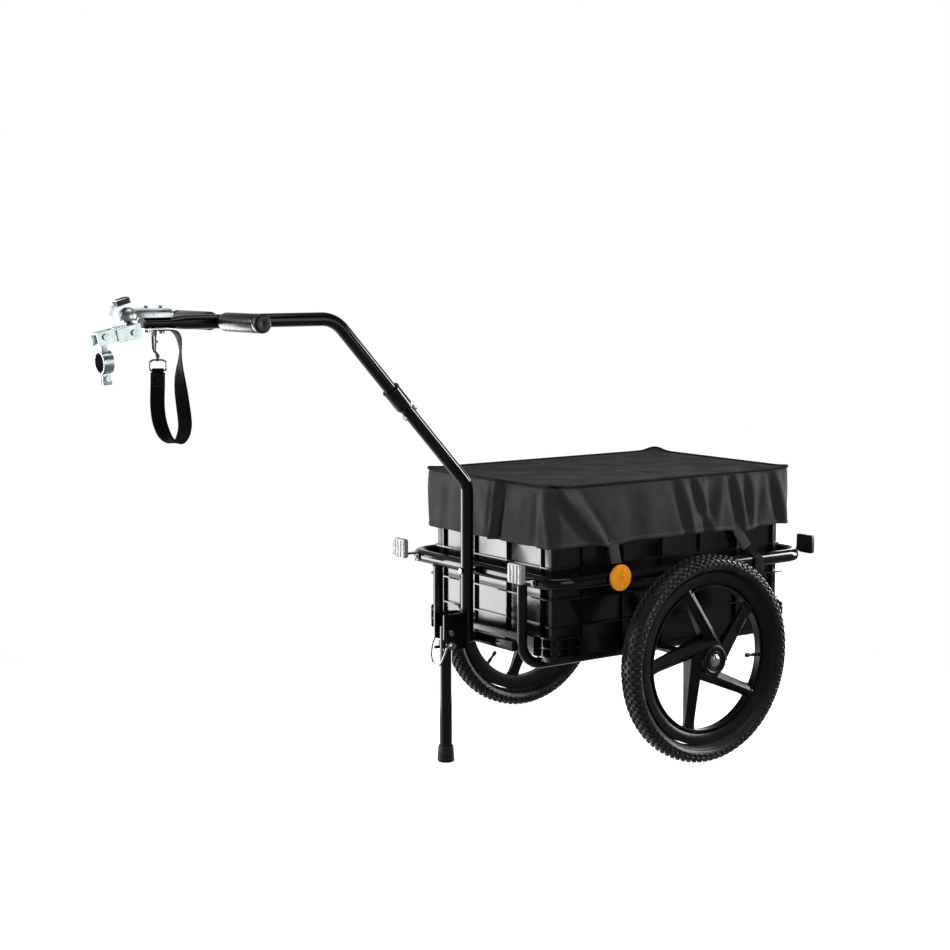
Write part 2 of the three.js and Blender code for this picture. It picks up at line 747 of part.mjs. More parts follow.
function crateBody() {
  const halfX = crateLength / 2;
  const halfY = crateWidth / 2;
  const bottom = wheelRadius + loopRadius + fitGap;
  const wallX = halfX - ribDepth;
  const wallY = halfY - ribDepth;
  const wallCorner = crateCorner - ribDepth;
  const floorTop = bottom + crateFloorThickness;
  const cavityX = wallX - crateWall;
  const cavityY = wallY - crateWall;
  const cavityCorner = wallCorner - crateWall;
  const solidBand = (out, z0, z1) => roundedSlab(halfX + out, halfY + out, crateCorner + out, z0, z1);
  const recessHalf = halfY - footWidth;
  const recess = (grown, sign) => {
    const from = recessPlace - grown;
    const to = halfX + wideRibOut + cutOverrun;
    const half = recessHalf + grown;
    return slab(
      Math.min(sign * from, sign * to), Math.max(sign * from, sign * to), -half, half,
      bottom - cutOverrun, recessTop + grown,
    );
  };
  const cavity = cut(
    roundedSlab(cavityX, cavityY, cavityCorner, floorTop, crateTop + cutOverrun),
    recess(crateWall, 1), recess(crateWall, -1),
  );
  const pieces = [
    roundedSlab(wallX, wallY, wallCorner, bottom, crateTop),
    solidBand(0, crateTop - rimBandHeight, crateTop),
    solidBand(crateLipOut, crateTop - crateLipHeight, crateTop),
    solidBand(0, bottom, bottom + bottomBandHeight),
    solidBand(wideRibOut, wideRibHeight, wideRibHeight + ribThickness),
  ];
  for (const height of narrowRibHeights) pieces.push(solidBand(0, height, height + ribThickness));
  const ribTop = crateTop - rimBandHeight / 2;
  const halfRib = ribThickness / 2;
  for (let i = 0; i < sideRibCount; i++) {
    const x = sideRibFirst - i * sideRibSpacing;
    pieces.push(slab(x - halfRib, x + halfRib, -halfY, halfY, bottom, ribTop));
  }
  for (const y of endRibPlaces) pieces.push(slab(-halfX, halfX, y - halfRib, y + halfRib, bottom, ribTop));
  const footX = halfX + wideRibOut;
  const footY = halfY + wideRibOut;
  const footCorner = crateCorner + wideRibOut;
  const shelf = (height) => roundedSlab(footX, footY, footCorner, height, height + ribThickness);
  const shelves = join(...footShelfHeights.map(shelf));
  const lowest = footShelfHeights[0];
  const highest = footShelfHeights[footShelfHeights.length - 1] + ribThickness;
  for (const signX of [1, -1]) {
    for (const signY of [1, -1]) {
      const range = (sign, a, b) => (sign > 0 ? [a, b] : [-b, -a]);
      const [x0, x1] = range(signX, halfX - footLength, footX + cutOverrun);
      const [y0, y1] = range(signY, halfY - footWidth, footY + cutOverrun);
      pieces.push(shelves.intersect(slab(x0, x1, y0, y1, lowest, highest)));
      for (const along of footSideRibs) {
        const x = signX * (halfX - along);
        const [from, to] = range(signY, wallY, footY);
        pieces.push(slab(x - halfRib, x + halfRib, from, to, lowest, highest));
      }
      for (const along of footEndRibs) {
        const y = signY * (halfY - along);
        const [from, to] = range(signX, wallX, footX);
        pieces.push(slab(from, to, y - halfRib, y + halfRib, lowest, highest));
      }
      pieces.push(cornerFin(signX, signY, lowest));
    }
  }
  return cut(join(...pieces), cavity, recess(0, 1), recess(0, -1));
}

// The fin on a corner foot: it stands out along the corner's diagonal and its top slopes in to the wall.
function cornerFin(signX, signY, foot) {
  const radius = crateCorner + wideRibOut;
  const centre = at(signX * (crateLength / 2 - crateCorner), signY * (crateWidth / 2 - crateCorner), 0);
  const out = at(signX, signY, 0).normalize();
  const across = at(-out.y, out.x, 0).multiplyScalar(ribThickness / 2);
  const inner = crateCorner - ribDepth - crateWall / 2;
  const shoulder = footFinTop - wideRibOut - ribDepth;
  const outline = [[inner, foot], [radius, foot], [radius, shoulder], [inner, footFinTop]];
  const ring = (sign) =>
    outline.map(([reach, height]) =>
      centre.clone().addScaledVector(out, reach).addScaledVector(across, sign).setZ(height),
    );
  return loft([ring(-1), ring(1)]);
}

const crateGroup = new THREE.Group();
crateGroup.position.x = crateCentre;
trailer.add(crateGroup);
place(crateGroup, "crate", crateBody(), crateBlack);

// Cover: one sheet over the crate, with a skirt whose hem is drawn in and whose folds lean

// The cover's outline as points with their distances along it, with whole steps on each side and corner.
function coverOutline(halfX, halfY, radius) {
  const points = [];
  const corner = (centreX, centreY, quarter) => {
    for (let k = 0; k < coverCornerSteps; k++) {
      const angle = ((quarter + k / coverCornerSteps) * Math.PI) / 2;
      points.push(at(centreX + radius * Math.cos(angle), centreY + radius * Math.sin(angle), 0));
    }
  };
  const side = (from, to, steps) => {
    for (let k = 0; k < steps; k++) points.push(from.clone().lerp(to, k / steps));
  };
  const [x, y] = [halfX - radius, halfY - radius];
  corner(x, y, 0);
  side(at(x, halfY, 0), at(-x, halfY, 0), coverSideSteps);
  corner(-x, y, 1);
  side(at(-halfX, y, 0), at(-halfX, -y, 0), coverEndSteps);
  corner(-x, -y, 2);
  side(at(-x, -halfY, 0), at(x, -halfY, 0), coverSideSteps);
  corner(x, -y, 3);
  side(at(halfX, -y, 0), at(halfX, y, 0), coverEndSteps);
  return points;
}

// How far round the cover a point lies, as a share of the girth.
function girthShares(points) {
  const lengths = points.map((point, i) => point.distanceTo(points[(i + 1) % points.length]));
  const girth = lengths.reduce((sum, length) => sum + length, 0);
  let run = 0;
  return lengths.map((length) => {
    const share = run / girth;
    run += length;
    return share;
  });
}

function foldRise(share, drop) {
  let rise = 0;
  const girth = 2 * (crateLength + crateWidth);
  for (const [place_, lean, height] of foldShares) {
    const away = Math.abs(share - place_ - lean * drop);
    const distance = Math.min(away, 1 - away) * girth;
    const down = Math.sin(foldSwell * Math.min(drop, foldFullest));
    rise += height * Math.exp(-((distance / foldWidth) ** 2)) * down;
  }
  return rise * foldDepth;
}

let hemRing = [];

function coverBody() {
  const lipX = crateLength / 2 + crateLipOut + coverEase;
  const lipY = crateWidth / 2 + crateLipOut + coverEase;
  const sheet = (inset) => {
    const halfX = lipX + coverThickness - inset;
    const halfY = lipY + coverThickness - inset;
    const outline = coverOutline(halfX, halfY, coverCorner);
    const around = girthShares(outline);
    const flatFrom = topRingShares[topRingShares.length - 1];
    const rings = [];
    for (const share of topRingShares) {
      const sink = coverSag * (1 - (share / flatFrom) ** 2);
      rings.push(outline.map((p) => at(p.x * share, p.y * share, coverTop - inset - sink)));
    }
    rings.push(outline.map((p) => at(p.x, p.y, coverTop - inset)));
    for (const share of skirtShares) {
      rings.push(
        outline.map((p, i) => {
          const onEnd = Math.abs(p.x) > halfX - coverCorner;
          const onSide = Math.abs(p.y) > halfY - coverCorner;
          const out = at(onEnd ? p.x / halfX : 0, onSide ? p.y / halfY : 0, 0).normalize();
          const push = foldRise(around[i], share) - coverHemDraw * share ** 2;
          const height = coverTop - (coverTop - coverHem) * share;
          return at(p.x, p.y, height).addScaledVector(out, push);
        }),
      );
    }
    return { rings, crown: at(0, 0, coverTop - inset - coverSag) };
  };
  const outer = sheet(0);
  const inner = sheet(coverThickness);
  const columns = outer.rings[0].length;
  const positions = [];
  const triangle = (a, b, c) => positions.push(...a.toArray(), ...b.toArray(), ...c.toArray());
  const skin = ({ rings, crown }, flip) => {
    const face = (a, b, c) => (flip ? triangle(a, c, b) : triangle(a, b, c));
    for (let j = 0; j < columns; j++) {
      const next = (j + 1) % columns;
      face(crown, rings[0][j], rings[0][next]);
      for (let i = 0; i + 1 < rings.length; i++) {
        face(rings[i][j], rings[i + 1][j], rings[i + 1][next]);
        face(rings[i][j], rings[i + 1][next], rings[i][next]);
      }
    }
  };
  skin(outer, false);
  skin(inner, true);
  const hemOut = outer.rings[outer.rings.length - 1];
  const hemIn = inner.rings[inner.rings.length - 1];
  hemRing = hemOut;
  for (let j = 0; j < columns; j++) {
    const next = (j + 1) % columns;
    triangle(hemOut[j], hemIn[j], hemIn[next]);
    triangle(hemOut[j], hemIn[next], hemOut[next]);
  }
  const geometry = new THREE.BufferGeometry();
  geometry.setAttribute("position", new THREE.Float32BufferAttribute(positions, 3));
  return solid(geometry);
}

// A strap's tab is sewn into the hem and slants out to the rail. A loop of the same webbing goes round
// the rail.
const tabFootOut = railHalfWidth - railRadius - 2 * strapThickness;

function strapTab(x, sign) {
  const half = strapWidth / 2;
  const near = hemRing.filter((p) => p.y * sign > 0 && Math.abs(p.x - x) < strapWidth);
  const hemOut = Math.min(...near.map((p) => Math.abs(p.y)));
  const points = [
    [hemOut - coverThickness, coverHem + strapThickness, coverThickness],
    [hemOut - coverThickness, coverHem - strapThickness, coverThickness],
    [tabFootOut - strapThickness, strapTabFoot, strapThickness],
  ];
  const rings = points.map(([y, z, depth]) => [
    at(x - half, sign * y, z), at(x + half, sign * y, z),
    at(x + half, sign * (y + depth), z), at(x - half, sign * (y + depth), z),
  ]);
  return loft(rings);
}

let cover = coverBody();
for (const x of strapPlaces) {
  for (const sign of [1, -1]) cover = join(cover, strapTab(x - crateCentre, sign));
}
place(crateGroup, "cover", cover, nylon);

function strapLoop(x, sign) {
  const middle = at(x, sign * railHalfWidth, railHeight);
  const half = strapWidth / 2;
  const inner = railRadius + fitGap;
  const outer = inner + strapThickness;
  const band = turned(
    closedProfile([[inner, -half], [outer, -half], [outer, half], [inner, half]]), middle, alongX,
  );
  const face = sign * (railHalfWidth + inner);
  const [y0, y1] = sign > 0 ? [face, face + strapThickness] : [face - strapThickness, face];
  const tail = slab(x - half, x + half, y0, y1, strapTailFoot, railHeight);
  return x > 0 ? band : join(band, tail);
}

strapPlaces.forEach((x, i) => {
  const end = i === 0 ? "front" : "rear";
  place(trailer, `${end}_left_rail_strap`, strapLoop(x, 1), webbing);
  place(trailer, `${end}_right_rail_strap`, strapLoop(x, -1), webbing);
});

// Drawbar

const kneePoint = at(barBack, 0, barKnee);
const shoulderPoint = at(barShoulder[0], 0, barShoulder[1]);
const slope = shoulderPoint.clone().sub(kneePoint).normalize();
const sleeveEnd = at(sleeveTop[0], 0, sleeveTop[1]);
const onSlope = (back) => sleeveEnd.clone().sub(slope.clone().multiplyScalar(back));
const boltCross = at(slope.z, 0, -slope.x); // square to the slanting tube, pointing forward and down
const spigotEnd = onSlope(sleeveLength + spigotLength);
const boltPlace = onSlope(sleeveLength + sleeveBoltDrop);
const boltHalf = barRadius + boltHeadHeight + 2 * fitGap;

function acrossTube(centre, half) {
  const step = boltCross.clone().multiplyScalar(half);
  return [centre.clone().sub(step), centre.clone().add(step)];
}

const plateOuter = bracketInner + bracketPlate;
const plateFront = standPlace + bracketNose;
const webBack = barBack + barRadius + fitGap;
const webFront = webBack + bracketPlate;

// A rod along X through the upright, for a bolt or its hole.
function alongBar(z, radius) {
  return rod(at(barBack - barRadius - cutOverrun, 0, z), at(webFront + cutOverrun, 0, z), radius);
}

function lowerDrawbar() {
  const route = [at(barBack, 0, barFoot), kneePoint, onSlope(sleeveLength - cutOverrun)];
  const tube = pipe(route, barKneeBend, barRadius);
  const sleeve = rod(onSlope(sleeveLength), sleeveEnd, sleeveRadius, roundSides);
  const taperFoot = onSlope(sleeveLength + sleeveTaper);
  const taper = rod(taperFoot, onSlope(sleeveLength - fitGap), barRadius, roundSides, sleeveRadius);
  const socket = rod(onSlope(sleeveLength), onSlope(-cutOverrun), sleeveBore, roundSides);
  const spigotFoot = onSlope(sleeveLength + spigotLength + fitGap);
  const spigotHole = rod(spigotFoot, onSlope(0), spigotRadius + fitGap, tubeSides);
  const [boltFrom, boltTo] = acrossTube(boltPlace, barRadius + cutOverrun);
  const boltHeights = [railHeight, bracketBoltHeight];
  const holes = [rod(boltFrom, boltTo, boltBore), ...boltHeights.map((z) => alongBar(z, boltBore))];
  return cut(join(tube, sleeve, taper), socket, spigotHole, ...holes);
}

// The upper tube's level end is pressed flat where the coupling is bolted to it.
function upperDrawbar() {
  const level = barShoulder[1];
  const route = [onSlope(sleeveLength - fitGap), shoulderPoint, at(barFlatStart, 0, level)];
  const tube = pipe(route, barShoulderBend, barRadius);
  const spigot = rod(spigotEnd, onSlope(sleeveLength - 2 * cutOverrun), spigotRadius, tubeSides);
  const section = (x, halfWidth, halfHeight, rake = 0) => {
    const ring = [];
    for (let i = 0; i < tubeSides; i++) {
      const angle = (2 * Math.PI * i) / tubeSides;
      const up = Math.sin(angle);
      ring.push(at(x + rake * up, halfWidth * Math.cos(angle), level + halfHeight * up));
    }
    return ring;
  };
  const flat = [barFlatWidth / 2, barFlatHeight / 2];
  const flatFull = barFlatStart + 2 * barRadius;
  const end = loft([
    section(barFlatStart - fitGap, barRadius, barRadius), section(flatFull, ...flat),
    section(barTip, ...flat, barTipRake),
  ]);
  const flatTop = level + barFlatHeight / 2;
  const holes = headBoltPlaces.map((x) => upright(x, level - barRadius, flatTop, boltBore));
  const handleBore = handleRadius + fitGap;
  const handleHole = crosswise(handlePlace, level, barRadius + cutOverrun, handleBore, roundSides);
  const [boltFrom, boltTo] = acrossTube(boltPlace, barRadius + cutOverrun);
  return cut(join(tube, spigot, end), ...holes, handleHole, rod(boltFrom, boltTo, boltBore));
}

place(trailer, "lower_drawbar", lowerDrawbar(), blackPaint);
place(trailer, "upper_drawbar", upperDrawbar(), blackPaint);
{
  const [from, to] = acrossTube(boltPlace, boltHalf);
  const start = from.clone().add(boltCross.clone().multiplyScalar(boltHeadHeight));
  place(trailer, "sleeve_bolt", bolt(start, to), zinc);
}

// Handle across the drawbar

const handleLevel = barShoulder[1];
const handle = crosswise(handlePlace, handleLevel, handleHalf, handleRadius, roundSides);
place(trailer, "handle_bar", handle, blackPaint);

function grip(sign) {
  const end = handleHalf + gripInset;
  const start = end - gripLength;
  const bore = handleRadius + fitGap;
  const closedAt = handleHalf + fitGap;
  const profile = closedProfile([
    [bore, start], [gripRadius - gripRounding, start], [gripRadius, start + gripRounding],
    [gripRadius, end - gripRounding], [gripRadius - gripRounding / 2, end], [plugBore, end],
    [plugBore, closedAt], [bore, closedAt],
  ]);
  return turned(profile, at(handlePlace, 0, handleLevel), at(0, sign, 0));
}
place(trailer, "left_grip", grip(1), gripFoam);
place(trailer, "right_grip", grip(-1), gripFoam);

// Rail bolt: it holds the upright of the drawbar to the rail

const railBoltHead = at(barBack + barRadius + fitGap, 0, railHeight);
const railBoltTip = at(railFront + railRadius + fitGap, 0, railHeight);
place(trailer, "rail_bolt", bolt(railBoltHead, railBoltTip, boltRadius, boltHeadRadius, false), steel);

// Stand bracket and stand

// A channel on the front of the upright, open to the front. The pin's slots open forward, so that the
// leg can swing out with the pin in it.
function standBracket() {
  const seat = pinRadius + 2 * fitGap;
  const slanted = seat * Math.SQRT1_2;
  const outline = [
    [webBack, bracketFoot], [plateFront, bracketFoot], [plateFront, standPinHeight - seat],
    [standPlace, standPinHeight - seat], [standPlace - slanted, standPinHeight - slanted],
    [standPlace - seat, standPinHeight], [standPlace - slanted, standPinHeight + slanted],
    [standPlace, standPinHeight + seat + pinNotchRise], [plateFront, standPinHeight + seat + pinNotchFlare],
    [plateFront, bracketTop], [webBack, bracketTop],
  ];
  const left = plate(outline, bracketInner, plateOuter);
  const right = plate(outline, -plateOuter, -bracketInner);
  const web = slab(webBack, webFront, -plateOuter, plateOuter, bracketFoot, bracketTop);
  const pivotHole = crosswise(standPlace, standPivotHeight, plateOuter + cutOverrun, boltBore);
  return cut(join(web, left, right), pivotHole, alongBar(bracketBoltHeight, boltBore));
}

place(trailer, "stand_bracket", standBracket(), blackPaint);
place(
  trailer, "bracket_bolt",
  bolt(
    at(webFront + fitGap, 0, bracketBoltHeight),
    at(barBack - barRadius - boltHeadHeight - 2 * fitGap, 0, bracketBoltHeight),
  ),
  zinc,
);
{
  const half = plateOuter + fitGap;
  const head = at(standPlace, half, standPivotHeight);
  const nut = at(standPlace, -half - boltHeadHeight - fitGap, standPivotHeight);
  place(trailer, "stand_pivot_bolt", bolt(head, nut), zinc);
}

function standLeg() {
  const half = bracketInner - fitGap;
  const foot = at(standPlace, 0, standFootSole + fitGap);
  const leg = rod(foot, at(standPlace, 0, standLegTop), standLegRadius, tubeSides);
  const boss = (z) => crosswise(standPlace, z, half, standBossRadius, tubeSides);
  const hole = (z, radius) => crosswise(standPlace, z, half + cutOverrun, radius + fitGap);
  return cut(
    join(leg, boss(standPivotHeight), boss(standPinHeight)),
    hole(standPivotHeight, boltRadius), hole(standPinHeight, pinRadius),
  );
}
place(trailer, "stand_leg", standLeg(), blackPaint);

const footBore = standLegRadius + fitGap;
place(
  trailer, "stand_foot",
  turned(
    [[0, 0], [standFootRadius, 0], [standFootRadius, standFootHeight - standFootTaper],
      [standFootRadius - standFootTaper, standFootHeight], [footBore, standFootHeight],
      [footBore, standFootSole], [0, standFootSole]],
    at(standPlace, 0, 0), alongZ,
  ),
  blackRubber,
);

// The lock pin has a head on the left, and a wire bail hung from it in front of the leg.
const pinHalf = plateOuter + pinEnd;
{
  const spot = (y) => at(standPlace, y, standPinHeight);
  const pin = rod(spot(-pinHalf), spot(pinHalf), pinRadius);
  const head = rod(spot(pinHalf - fitGap), spot(pinHalf + pinHeadLength), pinHeadRadius);
  place(trailer, "lock_pin", join(pin, head), steel);
}

function pinBail() {
  const hung = plateOuter + pinEnd / 2;
  const loopMiddle = pinRadius + fitGap + bailRadius;
  const loop = new THREE.TorusGeometry(loopMiddle, bailRadius, 6, smallSides);
  loop.rotateX(Math.PI / 2);
  loop.translate(standPlace, hung, standPinHeight);
  const wire = pipe(
    [
      at(standPlace + loopMiddle, hung, standPinHeight), at(bailPlace, hung, standPinHeight),
      at(bailPlace, hung, bailFoot), at(bailPlace, bailEnd, bailFoot),
      at(bailPlace, bailEnd, bailEndHeight),
    ],
    bailBend, bailRadius, 6,
  );
  return join(solid(loop), wire);
}
place(trailer, "pin_bail", pinBail(), steel);

// Reflectors

// A reflector: a rounded block on a flat arm that ends in a saddle against the rail.
function reflector(face, direction, spread, rise) {
  const depth = reflectorDepth;
  const block = extruded(roundedOutline(reflectorWidth / 2, reflectorHeight / 2, reflectorCorner), depth);
  block.rotateY(Math.PI / 2);
  block.rotateX(Math.PI / 2);
  block.translate(direction > 0 ? face - depth : face, spread, rise);
  const railSide = direction > 0 ? railFront + railRadius + fitGap : railRear - railRadius - fitGap;
  const back = face - direction * depth;
  const armTop = rise - reflectorHeight / 2 + reflectorArmWidth / 2;
  const span = (a, b) => [Math.min(a, b), Math.max(a, b)];
  const [x0, x1] = span(railSide, back + direction * reflectorArmThickness);
  const half = reflectorArmWidth / 2;
  const arm = slab(x0, x1, spread - half, spread + half, armTop - reflectorArmThickness, armTop);
  const [s0, s1] = span(railSide, railSide + direction * reflectorArmThickness);
  const saddle = slab(s0, s1, spread - half, spread + half, railHeight - reflectorSaddle, armTop);
  return join(solid(block), arm, saddle);
}
for (const [side, sign] of [["left", 1], ["right", -1]]) {
  const front = reflector(reflectorFace, 1, sign * reflectorSpread, railHeight + reflectorRise);
  place(trailer, `front_${side}_reflector`, front, whiteLens);
  const rear = reflector(rearReflectorFace, -1, sign * reflectorSpread, railHeight + rearReflectorRise);
  place(trailer, `rear_${side}_reflector`, rear, redLens);
  const railFace = railHalfWidth + railRadius + fitGap;
  const back = railFace + strapThickness + fitGap;
  const spot = (y) => at(sideReflectorPlace, sign * y, railHeight + sideReflectorRise);
  const disc = rod(spot(back), spot(back + sideReflectorDepth), sideReflectorRadius, roundSides);
  const stub = rod(spot(railFace), spot(back + fitGap), sideReflectorStub);
  place(trailer, `${side}_side_reflector`, join(disc, stub), amberLens);
}

// Coupling head on the drawbar

const ball = at(ballPlace, 0, ballHeight);

function sphere(centre, radius) {
  const globe = new THREE.SphereGeometry(radius, tubeSides, tubeSides / 2);
  globe.rotateX(Math.PI / 2);
  globe.translate(centre.x, centre.y, centre.z);
  return solid(globe);
}

function couplingHead() {
  const seat = handleLevel + barFlatHeight / 2 + fitGap;
  const profile = (x, halfWidth, top) => {
    const shoulder = (top - seat) / 2;
    return [
      at(x, -halfWidth, seat), at(x, halfWidth, seat), at(x, halfWidth, seat + shoulder),
      at(x, halfWidth - shoulder / 2, top), at(x, -halfWidth + shoulder / 2, top),
      at(x, -halfWidth, seat + shoulder),
    ];
  };
  const body = loft([
    profile(headRear, headHalfWidth, headTop - anchorThickness),
    profile(headRear + headNose, headHalfWidth, headTop),
    profile(headFront - headShoulder, headHalfWidth, headTop),
    profile(headFront, neckHalfWidth, headTop),
  ]);
  const below = ball.z - socketOpening;
  const hollow = sphere(ball, ballRadius + socketPlay);
  const opening = slab(
    ball.x - socketRadius - cutOverrun, ball.x + socketRadius + cutOverrun, -socketRadius - cutOverrun,
    socketRadius + cutOverrun, below - socketRadius, below,
  );
  const holes = headBoltPlaces.map((x) => upright(x, seat, headTop, boltBore));
  return cut(join(body, sphere(ball, socketRadius)), hollow, opening, ...holes);
}
place(trailer, "coupling_head", couplingHead(), zinc);

// Two bolts hold the head; the rear one also holds the tether's anchor.
const anchorTop = handleLevel - barFlatHeight / 2 - fitGap;
const anchorFoot = anchorTop - anchorThickness;
headBoltPlaces.forEach((x, i) => {
  const name = i === 0 ? "rear_head_bolt" : "front_head_bolt";
  const held = i === 0 ? tetherThickness + fitGap : 0;
  const nut = at(x, 0, anchorFoot - held - boltHeadHeight - 2 * fitGap);
  place(trailer, name, bolt(at(x, 0, headTop + fitGap), nut), zinc);
});

function tetherAnchor() {
  const half = headHalfWidth - anchorThickness;
  const strip = slab(anchorRear, anchorFront, -half, half, anchorFoot, anchorTop);
  const eye = new THREE.TorusGeometry(eyeRadius, eyeWire, 6, 10);
  eye.rotateY(Math.PI / 2);
  eye.rotateZ(Math.PI / 2);
  eye.translate(eyePlace + eyeRadius, 0, anchorFoot - eyeRadius);
  const holes = headBoltPlaces.map((x) => upright(x, anchorFoot, anchorTop, boltBore));
  return cut(join(strip, solid(eye)), ...holes);
}

// The bicycle's half of the coupling, in a group that is pitched about the ball

const bike = new THREE.Group();
bike.position.copy(ball);
bike.rotation.y = degrees(bracketTiltDegrees);
trailer.add(bike);

function hitchBracket() {
  const bottom = channelTop - channelHeight;
  const outer = slab(channelRear, channelFront, -channelHalfWidth, channelHalfWidth, bottom, channelTop);
  const inner = slab(
    channelRear - cutOverrun, channelFront + cutOverrun, -channelHalfWidth + channelWall,
    channelHalfWidth - channelWall, bottom - cutOverrun, channelTop - channelWall,
  );
  const hole = ([x, z], radius) => crosswise(x, z, channelHalfWidth + cutOverrun, radius + fitGap);
  const web = channelTop - channelWall;
  const stemHole = upright(0, web, channelTop, stemRadius + fitGap, roundSides);
  const slotHalf = leverWidth / 2 + 3 * fitGap;
  const slot = slab(...leverSlot, -slotHalf, slotHalf, web - cutOverrun, channelTop + cutOverrun);
  const boltHoles = [hole(saddleBolt, boltRadius), hole(clampPivot, boltRadius)];
  return cut(outer, inner, ...boltHoles, hole(leverPivot, leverPinRadius), stemHole, slot);
}
place(bike, "hitch_bracket", hitchBracket(), zinc);

place(bike, "ball", sphere(at(0, 0, 0), ballRadius), steel);

// The stem stands in the bracket with a collar over the channel and a nut under it, and carries the ball.
function ballStem() {
  const foot = channelTop - channelWall - stemNut;
  const spot = (z) => at(0, 0, z);
  const stem = rod(spot(foot), spot(-ballRadius - fitGap), stemRadius, tubeSides);
  const seat = channelTop + fitGap;
  const collar = rod(spot(seat), spot(seat + stemCollar), stemCollarRadius, tubeSides);
  const nut = rod(spot(foot), spot(channelTop - channelWall - fitGap), stemCollarRadius, 6);
  return join(stem, collar, nut);
}
place(bike, "ball_stem", ballStem(), steel);

function hitchSaddle() {
  const inner = channelHalfWidth + fitGap;
  const outer = inner + saddleWall;
  const outline = [
    [saddleRear, saddleFoot], [saddleFront, saddleFoot], [saddleFront, saddleTopFront],
    [saddleRear, saddleTopRear],
  ];
  const web = slab(saddleRear, saddleFront, -outer, outer, saddleFoot, saddleFoot + saddleWall);
  const hole = crosswise(...saddleBolt, outer + cutOverrun, boltBore);
  return cut(join(web, plate(outline, inner, outer), plate(outline, -outer, -inner)), hole);
}
place(bike, "hitch_saddle", hitchSaddle(), zinc);

function bikeBolt([x, z], half) {
  return bolt(at(x, half + fitGap, z), at(x, -half - boltHeadHeight - 2 * fitGap, z));
}
place(bike, "saddle_bolt", bikeBolt(saddleBolt, channelHalfWidth + saddleWall + fitGap), zinc);
place(bike, "clamp_pivot_bolt", bikeBolt(clampPivot, channelHalfWidth), zinc);

// Seat-post clamp: it hangs from the bracket's front bolt, in a group of its own

const clampGroup = new THREE.Group();
clampGroup.position.set(clampPivot[0], 0, clampPivot[1]);
clampGroup.rotation.y = degrees(clampTiltDegrees - bracketTiltDegrees);
bike.add(clampGroup);
const clampHalf = clampLength / 2;
const linerOuter = clampBore + clampLinerWall;
const acrossClamp = (z, half, radius) => crosswise(0, z, half, radius);

function seatpostClamp() {
  const ring = rod(at(-clampHalf, 0, -clampDrop), at(clampHalf, 0, -clampDrop), clampRadius, roundSides);
  const earHalf = clampSlit / 2 + clampEarThickness;
  const earWide = clampEarWidth / 2;
  const earFoot = -clampDrop - clampEarDepth;
  const ears = slab(-earWide, earWide, -earHalf, earHalf, earFoot, -clampDrop - linerOuter);
  const neckLong = clampNeckLength / 2;
  const neck = join(
    slab(-neckLong, neckLong, -clampNeckHalf, clampNeckHalf, -clampDrop + linerOuter, 0),
    acrossClamp(0, clampNeckHalf, neckLong),
  );
  const reach = clampHalf + cutOverrun;
  const bore = rod(at(-reach, 0, -clampDrop), at(reach, 0, -clampDrop), linerOuter + fitGap, roundSides);
  const slit = slab(-reach, reach, -clampSlit / 2, clampSlit / 2, earFoot - cutOverrun, -clampDrop);
  const hole = (z) => acrossClamp(z, channelHalfWidth, boltBore);
  return cut(join(ring, ears, neck), bore, slit, hole(0), hole(-clampDrop - clampBoltDrop));
}
place(clampGroup, "seatpost_clamp", seatpostClamp(), zinc);

function clampLiner() {
  const sleeve = turned(
    closedProfile([
      [clampBore, -clampHalf], [linerOuter, -clampHalf], [linerOuter, clampHalf], [clampBore, clampHalf],
    ]),
    at(0, 0, -clampDrop), alongX,
  );
  const reach = clampHalf + cutOverrun;
  const slitFoot = -clampDrop - clampRadius - cutOverrun;
  const slit = slab(-reach, reach, -clampSlit / 2, clampSlit / 2, slitFoot, -clampDrop);
  return cut(sleeve, slit);
}
place(clampGroup, "clamp_liner", clampLiner(), blackRubber);
{
  const half = clampSlit / 2 + clampEarThickness + fitGap;
  const z = -clampDrop - clampBoltDrop;
  place(clampGroup, "clamp_bolt", bolt(at(0, half, z), at(0, -half - boltHeadHeight - fitGap, z)), zinc);
}

// Safety lever: a strip bent round the front of the socket, with a plastic thumb piece on top

function safetyLever() {
  const steps = 7;
  const half = leverWidth / 2;
  const rings = [];
  for (let i = 0; i <= steps; i++) {
    const angle = degrees(leverFootDegrees + ((leverTopDegrees - leverFootDegrees) * i) / steps);
    const spot = (radius, y) => at(radius * Math.cos(angle), y, radius * Math.sin(angle));
    rings.push([
      spot(leverRadius, -half), spot(leverRadius + leverThickness, -half),
      spot(leverRadius + leverThickness, half), spot(leverRadius, half),
    ]);
  }
  const top = degrees(leverTopDegrees);
  const middle = leverRadius + leverThickness / 2;
  const tipX = middle * Math.cos(top);
  const tipZ = middle * Math.sin(top);
  const tipHalf = half + leverThickness / 2;
  const tipFront = tipX + leverThickness;
  const tipFoot = tipZ + (leverThickness - leverTipHeight) / 2;
  const tipBack = tipFront - leverTipLength;
  const tip = slab(tipBack, tipFront, -tipHalf, tipHalf, tipFoot, tipFoot + leverTipHeight);
  const [rear, front, foot, head] = leverTongue;
  const tongue = slab(rear, front, -half, half, foot, head);
  const pin = crosswise(...leverPivot, channelHalfWidth - fitGap, leverPinRadius);
  return join(loft(rings), tip, tongue, pin);
}
place(bike, "safety_lever", safetyLever(), zinc);

// Tether: a strap from under the drawbar to a snap hook in the anchor's eye

place(trailer, "tether_anchor", tetherAnchor(), zinc);

// The strap's bar in the ring lies just above the end of the strap's route.
const ringDegrees = 68;
const ringAlong = at(-Math.sin(degrees(ringDegrees)), Math.cos(degrees(ringDegrees)), 0);
const ringBar = at(ringPlace[0], 0, ringPlace[1]);

